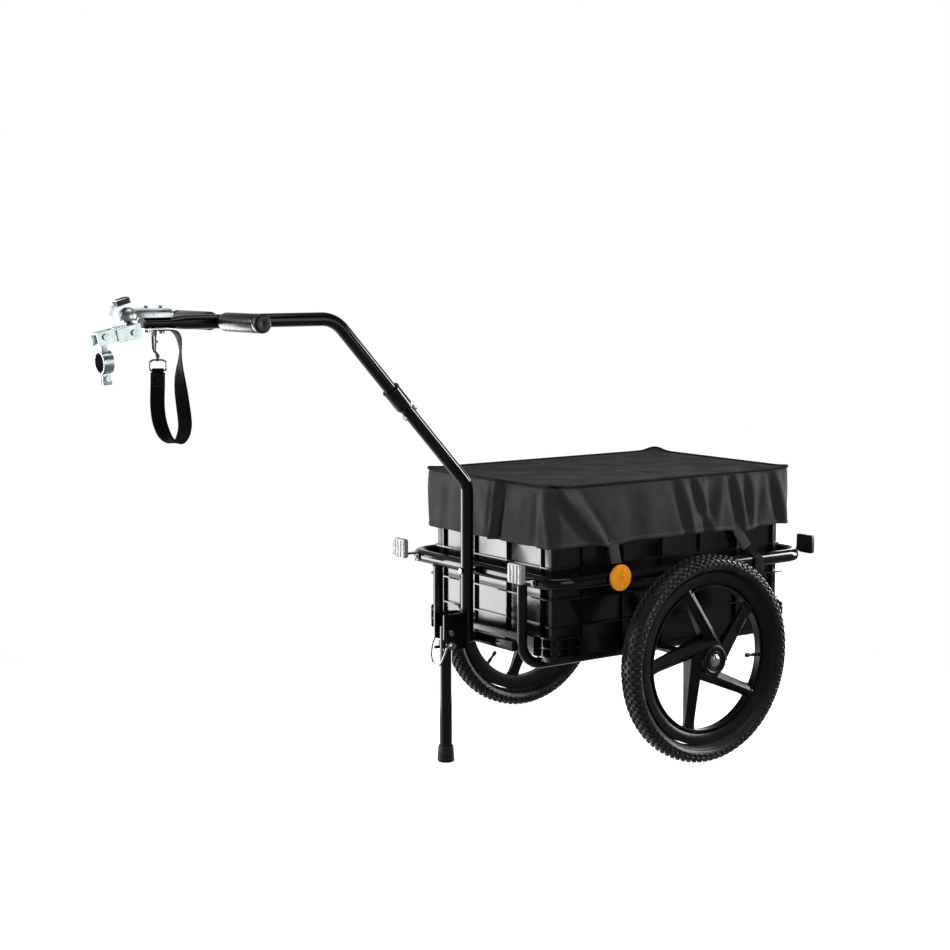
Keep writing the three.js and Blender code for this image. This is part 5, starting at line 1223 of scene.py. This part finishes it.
def make_cover(sizes):
    """The nylon cover: one sheet with a sagging top and a skirt with sewn corners, folds and a hem."""
    half_x, half_y = COVER_HALF
    edge_x, edge_y = half_x - COVER_CORNER, half_y - COVER_CORNER
    bm = bmesh.new()
    uv = bm.loops.layers.uv.verify()
    drop_layer = bm.verts.layers.float.new("drop")
    bmesh.ops.create_grid(bm, x_segments=COVER_CELLS[0], y_segments=COVER_CELLS[1], size=1)
    for v in bm.verts:
        x, y = v.co.x * half_x, v.co.y * half_y
        dx, dy = max(0, abs(x) - edge_x), max(0, abs(y) - edge_y)
        if dx and dy:
            share = max(dx, dy) / math.hypot(dx, dy)
            x = math.copysign(edge_x + dx * share, x)
            y = math.copysign(edge_y + dy * share, y)
        v.co = Vector((x, y, 0))
        v[drop_layer] = -1.0
    rim = [e for e in bm.edges if e.is_boundary]
    rim_verts = {v for e in rim for v in e.verts}
    for v in rim_verts:
        v[drop_layer] = 0.0
    depth = COVER_TOP - COVER_HEM
    edges = rim
    for step in range(1, SKIRT_STEPS + 1):
        result = bmesh.ops.extrude_edge_only(bm, edges=edges)["geom"]
        fresh = {g for g in result if isinstance(g, bmesh.types.BMVert)}
        edges = [g for g in result if isinstance(g, bmesh.types.BMEdge) and set(g.verts) <= fresh]
        for v in fresh:
            v.co.z -= depth / SKIRT_STEPS
            v[drop_layer] = step / SKIRT_STEPS
    hem_line = []
    flat = {}
    for v in bm.verts:
        x, y, drop = v.co.x, v.co.y, v[drop_layer]
        flat[v] = (x, y, max(drop, 0))
        if drop < 0:
            v.co.z = top_height(x, y, half_x, half_y, sizes.cover_sag / MM)
            continue
        v.co = skirt_place(x, y, drop, half_x, half_y, edge_x, edge_y, depth)
    for face in bm.faces:
        normal = face.normal
        for loop in face.loops:
            x, y, drop = flat[loop.vert]
            down = drop * depth
            if abs(normal.z) > 0.7:
                loop[uv].uv = (x * MM, y * MM)
            elif abs(normal.y) > abs(normal.x):
                loop[uv].uv = (x * MM, -down * MM)
            else:
                loop[uv].uv = (y * MM, -down * MM)
    for v in bm.verts:
        v[drop_layer] = max(v[drop_layer], 0) * depth * MM
    hem = [e for e in edges]
    start = hem[0].verts[0]
    ordered, here, last = [start], start, None
    links = {}
    for e in hem:
        for a, b in (e.verts, reversed(e.verts)):
            links.setdefault(a, []).append(b)
    while True:
        following = [n for n in links[here] if n is not last]
        last, here = here, following[0]
        if here is start:
            break
        ordered.append(here)
    hem_line = [v.co.copy() for v in ordered]
    top_ring = order_ring(rim)
    seam_line = [v.co.copy() for v in top_ring]
    place = Matrix.Translation(spot(COVER_MIDDLE, 0, COVER_TOP)) @ Matrix.Scale(MM, 4)
    bmesh.ops.transform(bm, matrix=place, verts=bm.verts)
    cover = piece("cover_sheet", bm, "nylon", "cover_body", ("cover",), smooth=70)
    thick = cover.modifiers.new("Cloth", "SOLIDIFY")
    thick.thickness = CLOTH * MM
    thick.offset = -1

    seam = make_seam("cover_piping", seam_line, place, 2.9, 0.1, 1.0, "webbing")
    hem = make_seam("cover_hem", hem_line, place, 1.9, 0.1, 2.4)
    tabs = [make_tab(x, side, sign) for x in STRAP_PLACES for side, sign in SIDES]


def order_ring(edges):
    """The vertices of a closed ring of edges in order."""
    links = {}
    for e in edges:
        a, b = e.verts
        links.setdefault(a, []).append(b)
        links.setdefault(b, []).append(a)
    start = edges[0].verts[0]
    ordered, here, last = [start], links[start][0], start
    while here is not start:
        ordered.append(here)
        following = [n for n in links[here] if n is not last][0]
        last, here = here, following
    return ordered


def top_height(x, y, half_x, half_y, sag):
    """The top sheet's height from its edge: a shallow sag with soft creases that run to its corners."""
    u = min(1, abs(x) / (half_x - COVER_BORDER))
    v = min(1, abs(y) / (half_y - COVER_BORDER))
    bowl = (1 - u**4) * (1 - v**4)
    low = -sag * bowl
    crease = noise.noise(Vector((x * 0.011, y * 0.013, 3.1))) * 3.4
    crease += noise.noise(Vector(((x + y) * 0.03, (x - y) * 0.009, 7.7))) * 1.6
    low += crease * min(1, bowl * 3)
    for sx, sy, size in ((1, 1, 2.6), (-1, 1, 3.4), (-1, -1, 2.4), (1, -1, 2.2)):
        dx, dy = half_x - sx * x, half_y - sy * y
        far = math.hypot(dx, dy)
        angle = math.atan2(dy, dx)
        fan = math.sin(angle * 9 + sx * 1.3 + sy)
        low += size * fan * math.exp(-((far - 60) / 55) ** 2) * min(1, bowl * 6)
    return low + corner_lift(x, y, half_x, half_y)


def corner_lift(x, y, half_x, half_y):
    """How far the sewn corners of the cover stand up, most at the rear right."""
    far = math.hypot(half_x - abs(x), half_y - abs(y))
    return (8.0 if x < 0 and y < 0 else 3.0) * math.exp(-((far / 26) ** 2))


def skirt_place(x, y, drop, half_x, half_y, edge_x, edge_y, depth):
    """A skirt vertex's place, in millimetres from the middle of the cover's top edge."""
    out_x = (abs(x) - edge_x) / COVER_CORNER if abs(x) > edge_x else 0
    out_y = (abs(y) - edge_y) / COVER_CORNER if abs(y) > edge_y else 0
    out = Vector((math.copysign(out_x, x), math.copysign(out_y, y), 0))
    if out.length:
        out.normalize()
    rise = 0.0
    if out_y:
        rise += abs(out.y) * skirt_fold("left" if y > 0 else "right", x, drop)
    if out_x:
        rise += abs(out.x) * skirt_fold("front" if x > 0 else "rear", y, drop)
    rise += 1.1 * noise.noise(Vector((x * 0.02, y * 0.02, drop * 2.0)))
    rise += 0.7 * noise.noise(Vector((x * 0.06, y * 0.06, drop * 5.0 + 9)))
    swell = 1.6 * math.sin(math.pi * min(1, drop))
    draw = 1.2 * drop**2
    rise = max(rise + swell - draw, -6.0 * min(1, drop * 4))
    low = -depth * drop + corner_lift(x, y, half_x, half_y) * (1 - drop) ** 2
    pull = 0.0
    if out_y:
        for at in STRAP_PLACES:
            pull += 6.5 * math.exp(-(((x - at) / 34) ** 2))
        pull -= 1.6
    wave = 1.2 * noise.noise(Vector((x * 0.018, y * 0.018, 21.0)))
    low -= (pull * abs(out.y) + wave) * drop**2
    if drop == 0:
        rise = 0.0
    return Vector((x, y, low)) + out * min(rise, 7.5)


def make_seam(name, line, place, radius, inward, tall, finish="nylon"):
    """A sewn roll of cloth along a closed line of the cover."""
    points = [place @ p for p in line]
    count = len(points)
    stations = []
    for i, p in enumerate(points):
        run = points[(i + 1) % count] - points[i - 1]
        stations.append((p, run.normalized()))
    stations.append(stations[0])
    matrices = []
    for p, run in stations:
        flat = Vector((run.x, run.y, 0)).normalized()
        out = flat.cross(Z)
        centre = place.translation
        if out.dot(p - centre) < 0:
            out = -out
        matrices.append(
            Matrix.Translation(p - out * (inward * MM))
            @ Matrix((out, Z, out.cross(Z))).transposed().to_4x4()
        )
    bm = bmesh.new()
    sweep(bm, round_section(radius * MM, 10, (1, tall)), matrices, closed=True)
    return piece(name, bm, finish, "cover_body", smooth=60)


def make_tab(x, side, sign):
    """A tab of webbing from the cover's hem down to the rail."""
    lean = 0 if x > 0 else 24
    line = [(x + lean, sign * 206.5, 446), (x + lean * 0.75, sign * 209, 430),
            (x + lean * 0.4, sign * 214.5, 412), (x, sign * 219.6, 395)]
    points = [spot(*p) for p in smooth_line(line, 4)]
    stations = []
    for i, p in enumerate(points):
        a, b = points[max(i - 1, 0)], points[min(i + 1, len(points) - 1)]
        stations.append((p, (b - a).normalized()))
    bm = bmesh.new()
    sweep(bm, strap_section(STRAP_WIDTH * MM, STRAP_THICK * MM), carried(stations, X))
    end = "front" if x > 0 else "rear"
    return piece(f"{end}_{side}_cover_tab", bm, "nylon", "cover_body")


def make_rail_straps():
    """A strap's loop round the rail at each of its four places, with a short tail."""
    for x in STRAP_PLACES:
        end = "front" if x > 0 else "rear"
        for side, sign in SIDES:
            centre = spot(x, sign * RAIL_HALF, RAIL_HEIGHT)
            reach = (RAIL_RADIUS + STRAP_THICK * 0.7) * MM
            stations = []
            inner = centre + Vector((0, -sign * 5.5 * MM, 24 * MM))
            first = Vector((0, -sign, 0))
            stations.append((inner, Vector((0, -sign * 0.32, -0.95)).normalized()))
            steps = 26
            for k in range(steps + 1):
                a = math.radians(20 + 300 * k / steps)
                out = Vector((0, -sign * math.cos(a), math.sin(a)))
                run = Vector((0, sign * math.sin(a), math.cos(a))) * -1
                stations.append((centre + Vector((0, -sign * math.cos(a - math.radians(20)) * reach,
                                                  -math.sin(a - math.radians(20)) * reach)),
                                 Vector((0, sign * math.sin(a - math.radians(20)),
                                         -math.cos(a - math.radians(20)))).normalized()))
            bm = bmesh.new()
            sweep(bm, strap_section(STRAP_WIDTH * MM, STRAP_THICK * MM), carried(stations, X))
            if x < 0:
                face = centre + Vector((0, sign * (RAIL_RADIUS + STRAP_THICK * 1.5) * MM, 6 * MM))
                tail = [face, face + Vector((0, sign * 0.4 * MM, -14 * MM)),
                        face + Vector((0, -sign * 0.6 * MM, -28 * MM))]
                sweep(bm, strap_section(STRAP_WIDTH * MM, STRAP_THICK * MM),
                      carried([(p, -Z) for p in tail], X))
            name = f"{end}_{side}_rail_strap"
            piece(f"{end}_{side}_rail_webbing", bm, "webbing", "frame", (name,))


# Reflectors


def make_reflectors():
    """The white front, red rear and amber side reflectors on their brackets."""
    turn = Matrix.Rotation(math.pi / 2, 4, "Y")
    for side, sign in SIDES:
        for end, way, face, rise, lens in (("front", 1, 390, 393, "clear_lens"), ("rear", -1, -378, 382, "red_lens")):
            node = f"{end}_{side}_reflector"
            place = Matrix.Translation(spot(face, sign * 193, rise))
            local = place @ (turn if way > 0 else turn.inverted())
            housing = "trim_plastic" if way < 0 else "clear_lens"
            bm = bmesh.new()
            round_panel(bm, 19 * MM, 22 * MM, 5 * MM, -10 * MM, -3.2 * MM, local, 0.9 * MM)
            if way < 0:
                round_panel(bm, 17.6 * MM, 20.6 * MM, 4.4 * MM, -4 * MM, -1.4 * MM, local, 0.6 * MM)
            piece(f"{node}_back", bm, housing, "frame", (node,))
            bm = bmesh.new()
            inset = 0.0 if way > 0 else 3.2
            round_panel(bm, (18.4 - inset) * MM, (21.4 - inset) * MM, 4.4 * MM, -4.4 * MM, -1.5 * MM, local, 0.7 * MM)
            rows = 4
            for k in range(rows):
                y = (k - (rows - 1) / 2) * (10.0 if way > 0 else 8.4)
                start = local @ (Vector((-16.4 + inset, y, -1.8)) * MM)
                finish_at = local @ (Vector((16.4 - inset, y, -1.8)) * MM)
                run = (finish_at - start).normalized()
                sweep(bm, round_section(4.4 * MM, 12, (1, 0.3)),
                      carried([(start, run), (finish_at, run)], (local.to_3x3() @ Y)))
            piece(f"{node}_lens", bm, lens, "frame")
            bm = bmesh.new()
            rail = (RAIL_FRONT + RAIL_RADIUS) if way > 0 else (RAIL_REAR - RAIL_RADIUS)
            back = face - way * 9.4
            top = rise - 12
            corners = [(rail, back)] if rail < back else [(back, rail)]
            x0, x1 = corners[0]
            block(bm, spot(x0, sign * 193 - 7, top - 3), spot(x1 + 0.01, sign * 193 + 7, top), bevel=0.9 * MM)
            s0, s1 = (rail, rail + way * 3) if way > 0 else (rail + way * 3, rail)
            block(bm, spot(s0, sign * 193 - 7, RAIL_HEIGHT - 9), spot(s1, sign * 193 + 7, top), bevel=0.9 * MM)
            lathe(bm, [(0, 0), (4.2, 0), (4.2, 1.2), (3.2, 2.4), (0, 2.8)],
                  about(spot(rail + way * 3, sign * 193, RAIL_HEIGHT), X * way), 20)
            piece(f"{node}_arm", bm, "black_paint", "frame")
        make_side_reflector(side, sign)


def make_side_reflector(side, sign):
    node = side + "_side_reflector"
    back = RAIL_HALF + RAIL_RADIUS + 2.4
    axis = about(spot(188, sign * back, 375), Y * sign)
    bm = bmesh.new()
    profile = [(0, -1.8), (8, -1.8), (8, 0), (23.6, 0), (24.6, 1), (24.8, 2.9), (0, 2.9)]
    lathe(bm, profile, axis, 56)
    piece(node + "_case", bm, "trim_plastic", "frame", (node,))
    bm = bmesh.new()
    lathe(bm, [(0, 2.6), (25, 2.6), (25, 6.4), (24.2, 7.4), (22.4, 7.8), (21.8, 7.3), (21.2, 7.4), (0, 7.4)],
          axis, 56)
    for angle in range(0, 180, 60):
        line = axis @ Matrix.Rotation(math.radians(angle + 15), 4, "Z")
        block(bm, Vector((-19.2, -0.8, 7.0)) * MM, Vector((19.2, 0.8, 8.0)) * MM, line, 0.3 * MM, 1)
    lathe(bm, [(3.4, 7.2), (3.8, 8.0), (4.6, 8.0), (5.0, 7.2)], axis, 32, closed=True)
    piece(node + "_lens", bm, "amber_lens", "frame", smooth=28)


# Coupling


def make_coupling():
    """The coupling head and ball, the bicycle's bracket and its seat-post clamp."""
    ball = spot(BALL_PLACE[0], 0, BALL_PLACE[1])
    bm = bmesh.new()
    outer, inner, cut = 16.5, 12.0, -6
    profile = []
    for k in range(13):
        a = math.radians(90 - k * (90 + math.degrees(math.asin(-cut / outer))) / 12)
        profile.append((max(0, outer * math.cos(a)), outer * math.sin(a)))
    profile.append((outer * 0.97, cut - 0.2))
    for k in range(11):
        a = math.radians(-math.degrees(math.asin(-cut / inner)) + k * (90 + 30) / 10)
        profile.append((max(0, inner * math.cos(min(a, math.pi / 2))), inner * math.sin(min(a, math.pi / 2))))
    profile[0] = (0, outer)
    profile[-1] = (0, inner)
    lathe(bm, profile, about(ball, Z), 48)
    seat, top = 871.3, 887
    def outline(x, half, high):
        rise = high - seat
        shape = [(-half, 0), (half, 0), (half, rise * 0.5), (half - rise * 0.1, rise * 0.78),
                 (half - rise * 0.32, rise), (-half + rise * 0.32, rise), (-half + rise * 0.1, rise * 0.78),
                 (-half, rise * 0.5)]
        return [spot(x, y, seat + z) for y, z in shape]
    bridged(bm, [outline(984, 14.4, 883.6), outline(986, 15, 885.2), outline(993, 15, 887), outline(1034, 15, 887),
                 outline(1044, 12.4, 887), outline(1052, 9.5, 886.4)])
    swell = [(10.4 * math.cos(math.radians(a)), 10.4 * math.sin(math.radians(a))) for a in range(90, -31, -10)]
    swell[0] = (0, 10.4)
    lathe(bm, swell + [(0, -5.2)], about(spot(1038, 0, 877), Z), 40)
    piece("coupling_casting", bm, "zinc", "frame", ("coupling_head",), smooth=44)

    bm = bmesh.new()
    bmesh.ops.create_uvsphere(bm, u_segments=40, v_segments=24, radius=11 * MM, matrix=Matrix.Translation(ball))
    piece("coupling_round_ball", bm, "steel", "coupling_ball", ("ball",))

    matrix = bike_matrix()
    bm = bmesh.new()
    top = -13.2
    lathe(bm, [(0, top - 7.5), (5.5, top - 7.5), (5.5, top + 0.3), (8, top + 0.3), (8.2, top + 0.8), (7.6, top + 1.8),
               (5.5, top + 1.9), (5.2, -10.6), (0, -10.4)], matrix, 32)
    hexagon(bm, matrix @ Matrix.Translation((0, 0, (top - 7.5) * MM)), 13.6, 4.6)
    piece("coupling_stem", bm, "steel", "bike_bracket", ("ball_stem",))

    for node, finish, width in (("hitch_bracket", "zinc", 0.8), ("hitch_saddle", "zinc", 0.7)):
        refined(node, finish, width, 3, 40)
    refined("safety_lever", "zinc", 0.5, 2, 24)
    make_lever_tip(matrix)
    make_clamp(matrix)


def make_lever_tip(matrix):
    """The lever's black thumb piece, with ribs across its top."""
    top = math.radians(58)
    x, z = 29.5 * math.cos(top) + 3, 29.5 * math.sin(top) + 1.5
    bm = bmesh.new()
    middle = Vector((x - 13.5, 0, z)) * MM
    local = matrix @ Matrix.Translation(middle) @ Matrix.Rotation(math.radians(4), 4, "Y")
    block(bm, Vector((-14.3, -8.6, -6.0)) * MM, Vector((14.3, 8.6, 6.1)) * MM, local, 3.4 * MM, 4)
    for k in range(5):
        rib = -8 + k * 3.4
        block(bm, Vector((rib, -6.6, 5.4)) * MM, Vector((rib + 1.4, 6.6, 6.8)) * MM, local, 0.5 * MM)
    piece("lever_thumb_piece", bm, "trim_plastic", "lever")


def make_clamp(matrix):
    """The seat-post clamp: a ring with a slit, two ears and a rubber liner."""
    tilt = math.radians(4.5) - TILT
    local = matrix @ Matrix.Translation(Vector((52.6, 0, -22.4)) * MM) @ Matrix.Rotation(tilt, 4, "Y")
    drop, half = 43, 9.5
    bore = local @ Matrix.Translation((0, 0, -drop * MM)) @ Matrix.Rotation(math.pi / 2, 4, "Y")
    slit = math.degrees(math.asin(2 / 18.6))
    body = bmesh.new()
    start = Matrix.Rotation(math.radians(slit), 4, "Z")
    profile = [(17.5, -half), (19.5, -half), (20, -half + 0.5), (20, half - 0.5), (19.5, half), (17.5, half)]
    lathe(body, profile, bore @ start, 56, math.radians(360 - 2 * slit), closed=True)
    bmesh.ops.holes_fill(body, edges=[e for e in body.edges if e.is_boundary], sides=0)
    for sign in (1, -1):
        y0, y1 = sorted((sign * 2, sign * 6.5))
        block(body, Vector((-8.5, y0, -drop - 38)) * MM, Vector((8.5, y1, -drop - 17.6)) * MM, local, 1.1 * MM, 3)
    block(body, Vector((-6, -8.5, -drop + 17.6)) * MM, Vector((6, 8.5, 5.6)) * MM, local, 1.4 * MM, 3)
    piece("clamp_casting", body, "zinc", "post_clamp", ("seatpost_clamp",), smooth=36)
    bm = bmesh.new()
    profile = [(15.2, -half), (17.4, -half), (17.4, half), (15.2, half)]
    lathe(bm, profile, bore @ start, 56, math.radians(360 - 2 * slit), closed=True)
    bmesh.ops.holes_fill(bm, edges=[e for e in bm.edges if e.is_boundary], sides=0)
    piece("clamp_rubber", bm, "black_rubber", "post_clamp", ("clamp_liner",), smooth=36)


# Stand


def make_stand():
    """The folding stand: its bracket, leg, rubber foot, lock pin and wire bail."""
    refined("stand_bracket", "black_paint", 0.7, 2, 40)
    bm = bmesh.new()
    lathe(bm, [(0, 9), (12, 9), (12, 265), (11.2, 267.4), (9.5, 268), (0, 267)], about(spot(STAND_PLACE, 0, 0), Z), 36)
    for z in (255.5, PIN_HEIGHT):
        lathe(bm, [(0, -13.6), (6.4, -13.6), (7, -13), (7, 13), (6.4, 13.6), (0, 13.6)],
              about(spot(STAND_PLACE, 0, z), Y), 24)
    piece("stand_leg_tube", bm, "black_paint", "stand", ("stand_leg",), smooth=40)
    bm = bmesh.new()
    profile = [(0, 0), (14.6, 0), (15.8, 0.7), (16.5, 2.4), (16.4, 7), (16.0, 7.6), (16.0, 8.4), (16.3, 9),
               (15.6, 20), (15.1, 29), (14.4, 31.4), (13.4, 32), (12.2, 31.8), (12.1, 28), (0, 28)]
    lathe(bm, profile, about(spot(STAND_PLACE, 0, 0), Z), 40)
    piece("stand_rubber_foot", bm, "black_rubber", "stand", ("stand_foot",), smooth=40)
    bm = bmesh.new()
    lathe(bm, [(0, -24), (3.2, -24), (4, -22.6), (4, 23.4), (5.6, 23.8), (6.1, 24.4), (6.1, 26), (5.4, 26.5), (0, 26.5)],
          about(spot(STAND_PLACE, 0, PIN_HEIGHT), Y), 28)
    piece("stand_lock_pin", bm, "steel", "stand_pin", ("lock_pin",))
    bm = bmesh.new()
    hung, wire, front = 20.5, 1.9, 427
    loop = 4 + 0.3 + wire
    corners = [
        (STAND_PLACE + loop, hung, PIN_HEIGHT), (STAND_PLACE + loop + 6, hung + 0.5, 226), (front - 2, 20, 214),
        (front, 13, 200), (front, 1, 192), (front, -12, 193), (front, -20, 203), (front - 1, -22, 218),
        (front - 3, -21, 232), (front - 6, -18, 243),
    ]
    line = [spot(*p) for p in smooth_line(corners, 5)]
    stations = [
        (p, (line[min(i + 1, len(line) - 1)] - line[max(i - 1, 0)]).normalized()) for i, p in enumerate(line)
    ]
    sweep(bm, round_section(wire * MM, 14), carried(stations))
    ring = [(loop + wire * math.cos(a), wire * math.sin(a)) for a in [2 * math.pi * k / 10 for k in range(10)]]
    lathe(bm, ring, about(spot(STAND_PLACE, hung, PIN_HEIGHT), Y), 28, closed=True)
    piece("stand_wire_bail", bm, "steel", "stand_bail", ("pin_bail",))


# Fasteners

BOLT_NODES = {
    "sleeve_bolt": "zinc", "rail_bolt": "dark_steel", "bracket_bolt": "zinc", "stand_pivot_bolt": "zinc",
    "rear_head_bolt": "zinc", "front_head_bolt": "zinc", "tether_anchor": "zinc", "saddle_bolt": "zinc",
    "clamp_pivot_bolt": "zinc", "clamp_bolt": "zinc",
}


def make_fasteners():
    for node, finish in BOLT_NODES.items():
        refined(node, finish, 0.45, 2, 32)


# The add-on's settings, operators and panel


class TrailerSizes(bpy.types.PropertyGroup):
    """Sizes that a user may change."""

    knob_height: bpy.props.FloatProperty(
        name="Knob height", description="Height of the tyre's knobs", default=0.003, min=0.0, unit="LENGTH",
    )
    cover_sag: bpy.props.FloatProperty(
        name="Cover sag", description="How far the cover's top hangs in its middle", default=0.006, min=0.0,
        unit="LENGTH",
    )


def colour_property(name, description, default):
    return bpy.props.FloatVectorProperty(
        name=name, description=description, default=default, subtype="COLOR", min=0.0, max=1.0,
    )


class TrailerColours(bpy.types.PropertyGroup):
    """Colours that a user may change."""

    paint: colour_property("Paint", "Colour of the painted tubes", (0.003, 0.003, 0.0032))
    crate: colour_property("Crate", "Colour of the crate", (0.003, 0.003, 0.0032))
    wheel: colour_property("Wheels", "Colour of the moulded wheels", (0.005, 0.005, 0.0052))
    rubber: colour_property("Rubber", "Colour of the tyres", (0.009, 0.009, 0.0088))
    nylon: colour_property("Cover", "Colour of the nylon cover", (0.036, 0.0335, 0.034))
    webbing: colour_property("Webbing", "Colour of the straps", (0.0035, 0.0035, 0.0035))
    zinc: colour_property("Zinc", "Colour of the plated coupling", (0.74, 0.82, 0.83))
    amber: colour_property("Amber", "Colour of the side reflectors", (0.8, 0.2, 0.004))


class TRAILER_OT_stage(bpy.types.Operator):
    """Make the camera, the floor, the light and the finishes"""

    bl_idname = "trailer.stage"
    bl_label = "Stage"

    def execute(self, context):
        make_camera()
        make_finishes(context.scene.trailer_colours)
        make_floor()
        make_world()
        for name, setting in LIGHTS.items():
            make_light(name, *setting)
        return {"FINISHED"}


class TRAILER_OT_tether(bpy.types.Operator):
    """Make the safety strap with its ring and snap hook"""

    bl_idname = "trailer.tether"
    bl_label = "Tether"

    def execute(self, context):
        make_tether()
        return {"FINISHED"}


class TRAILER_OT_frame(bpy.types.Operator):
    """Make the rail, the loops, the crossmember and the axle"""

    bl_idname = "trailer.frame"
    bl_label = "Frame"

    def execute(self, context):
        make_frame()
        return {"FINISHED"}


class TRAILER_OT_drawbar(bpy.types.Operator):
    """Make the two drawbar tubes"""

    bl_idname = "trailer.drawbar"
    bl_label = "Drawbar"

    def execute(self, context):
        make_drawbar()
        return {"FINISHED"}


class TRAILER_OT_handle(bpy.types.Operator):
    """Make the push handle and its grips"""

    bl_idname = "trailer.handle"
    bl_label = "Handle"

    def execute(self, context):
        make_handle()
        return {"FINISHED"}


class TRAILER_OT_tyres(bpy.types.Operator):
    """Make the two knobby tyres"""

    bl_idname = "trailer.tyres"
    bl_label = "Tyres"

    def execute(self, context):
        for side, sign in SIDES:
            make_tyre(side, sign, context.scene.trailer_sizes)
        return {"FINISHED"}


class TRAILER_OT_wheels(bpy.types.Operator):
    """Make the two wheels with their bearings, screws and valves"""

    bl_idname = "trailer.wheels"
    bl_label = "Wheels"

    def execute(self, context):
        for side, sign in SIDES:
            make_wheel(side, sign)
        return {"FINISHED"}


class TRAILER_OT_crate(bpy.types.Operator):
    """Make the stacking crate"""

    bl_idname = "trailer.crate"
    bl_label = "Crate"

    def execute(self, context):
        make_crate()
        return {"FINISHED"}


class TRAILER_OT_cover(bpy.types.Operator):
    """Make the nylon cover with its piping, hem and tabs"""

    bl_idname = "trailer.cover"
    bl_label = "Cover"

    def execute(self, context):
        make_cover(context.scene.trailer_sizes)
        return {"FINISHED"}


class TRAILER_OT_straps(bpy.types.Operator):
    """Make the straps that hold the cover to the rail"""

    bl_idname = "trailer.straps"
    bl_label = "Rail straps"

    def execute(self, context):
        make_rail_straps()
        return {"FINISHED"}


class TRAILER_OT_reflectors(bpy.types.Operator):
    """Make the six reflectors"""

    bl_idname = "trailer.reflectors"
    bl_label = "Reflectors"

    def execute(self, context):
        make_reflectors()
        return {"FINISHED"}


class TRAILER_OT_coupling(bpy.types.Operator):
    """Make the coupling, its lever and the seat-post clamp"""

    bl_idname = "trailer.coupling"
    bl_label = "Coupling"

    def execute(self, context):
        make_coupling()
        return {"FINISHED"}


class TRAILER_OT_stand(bpy.types.Operator):
    """Make the folding stand"""

    bl_idname = "trailer.stand"
    bl_label = "Stand"

    def execute(self, context):
        make_stand()
        return {"FINISHED"}


class TRAILER_OT_fasteners(bpy.types.Operator):
    """Make the bolts and the tether's anchor"""

    bl_idname = "trailer.fasteners"
    bl_label = "Fasteners"

    def execute(self, context):
        make_fasteners()
        return {"FINISHED"}


OPERATORS = (
    TRAILER_OT_stage, TRAILER_OT_tether, TRAILER_OT_frame, TRAILER_OT_drawbar, TRAILER_OT_handle,
    TRAILER_OT_tyres, TRAILER_OT_wheels, TRAILER_OT_crate, TRAILER_OT_cover, TRAILER_OT_straps,
    TRAILER_OT_reflectors, TRAILER_OT_coupling, TRAILER_OT_stand, TRAILER_OT_fasteners,
)


class TRAILER_PT_panel(bpy.types.Panel):
    """Lists the trailer's makers and settings"""

    bl_idname = "TRAILER_PT_panel"
    bl_label = "Cargo bike trailer"
    bl_space_type = "VIEW_3D"
    bl_region_type = "UI"
    bl_category = "Trailer"

    def draw(self, context):
        layout = self.layout
        for group in (context.scene.trailer_sizes, context.scene.trailer_colours):
            for name in group.__annotations__:
                layout.prop(group, name)
        for operator in OPERATORS:
            layout.operator(operator.bl_idname)


CLASSES = (TrailerSizes, TrailerColours, *OPERATORS, TRAILER_PT_panel)


def register():
    for item in CLASSES:
        bpy.utils.register_class(item)
    bpy.types.Scene.trailer_sizes = bpy.props.PointerProperty(type=TrailerSizes)
    bpy.types.Scene.trailer_colours = bpy.props.PointerProperty(type=TrailerColours)


def unregister():
    del bpy.types.Scene.trailer_colours
    del bpy.types.Scene.trailer_sizes
    for item in reversed(CLASSES):
        bpy.utils.unregister_class(item)


def main():
    register()
    for operator in OPERATORS:
        group, name = operator.bl_idname.split(".")
        getattr(getattr(bpy.ops, group), name)()


if __name__ == "__main__":
    main()
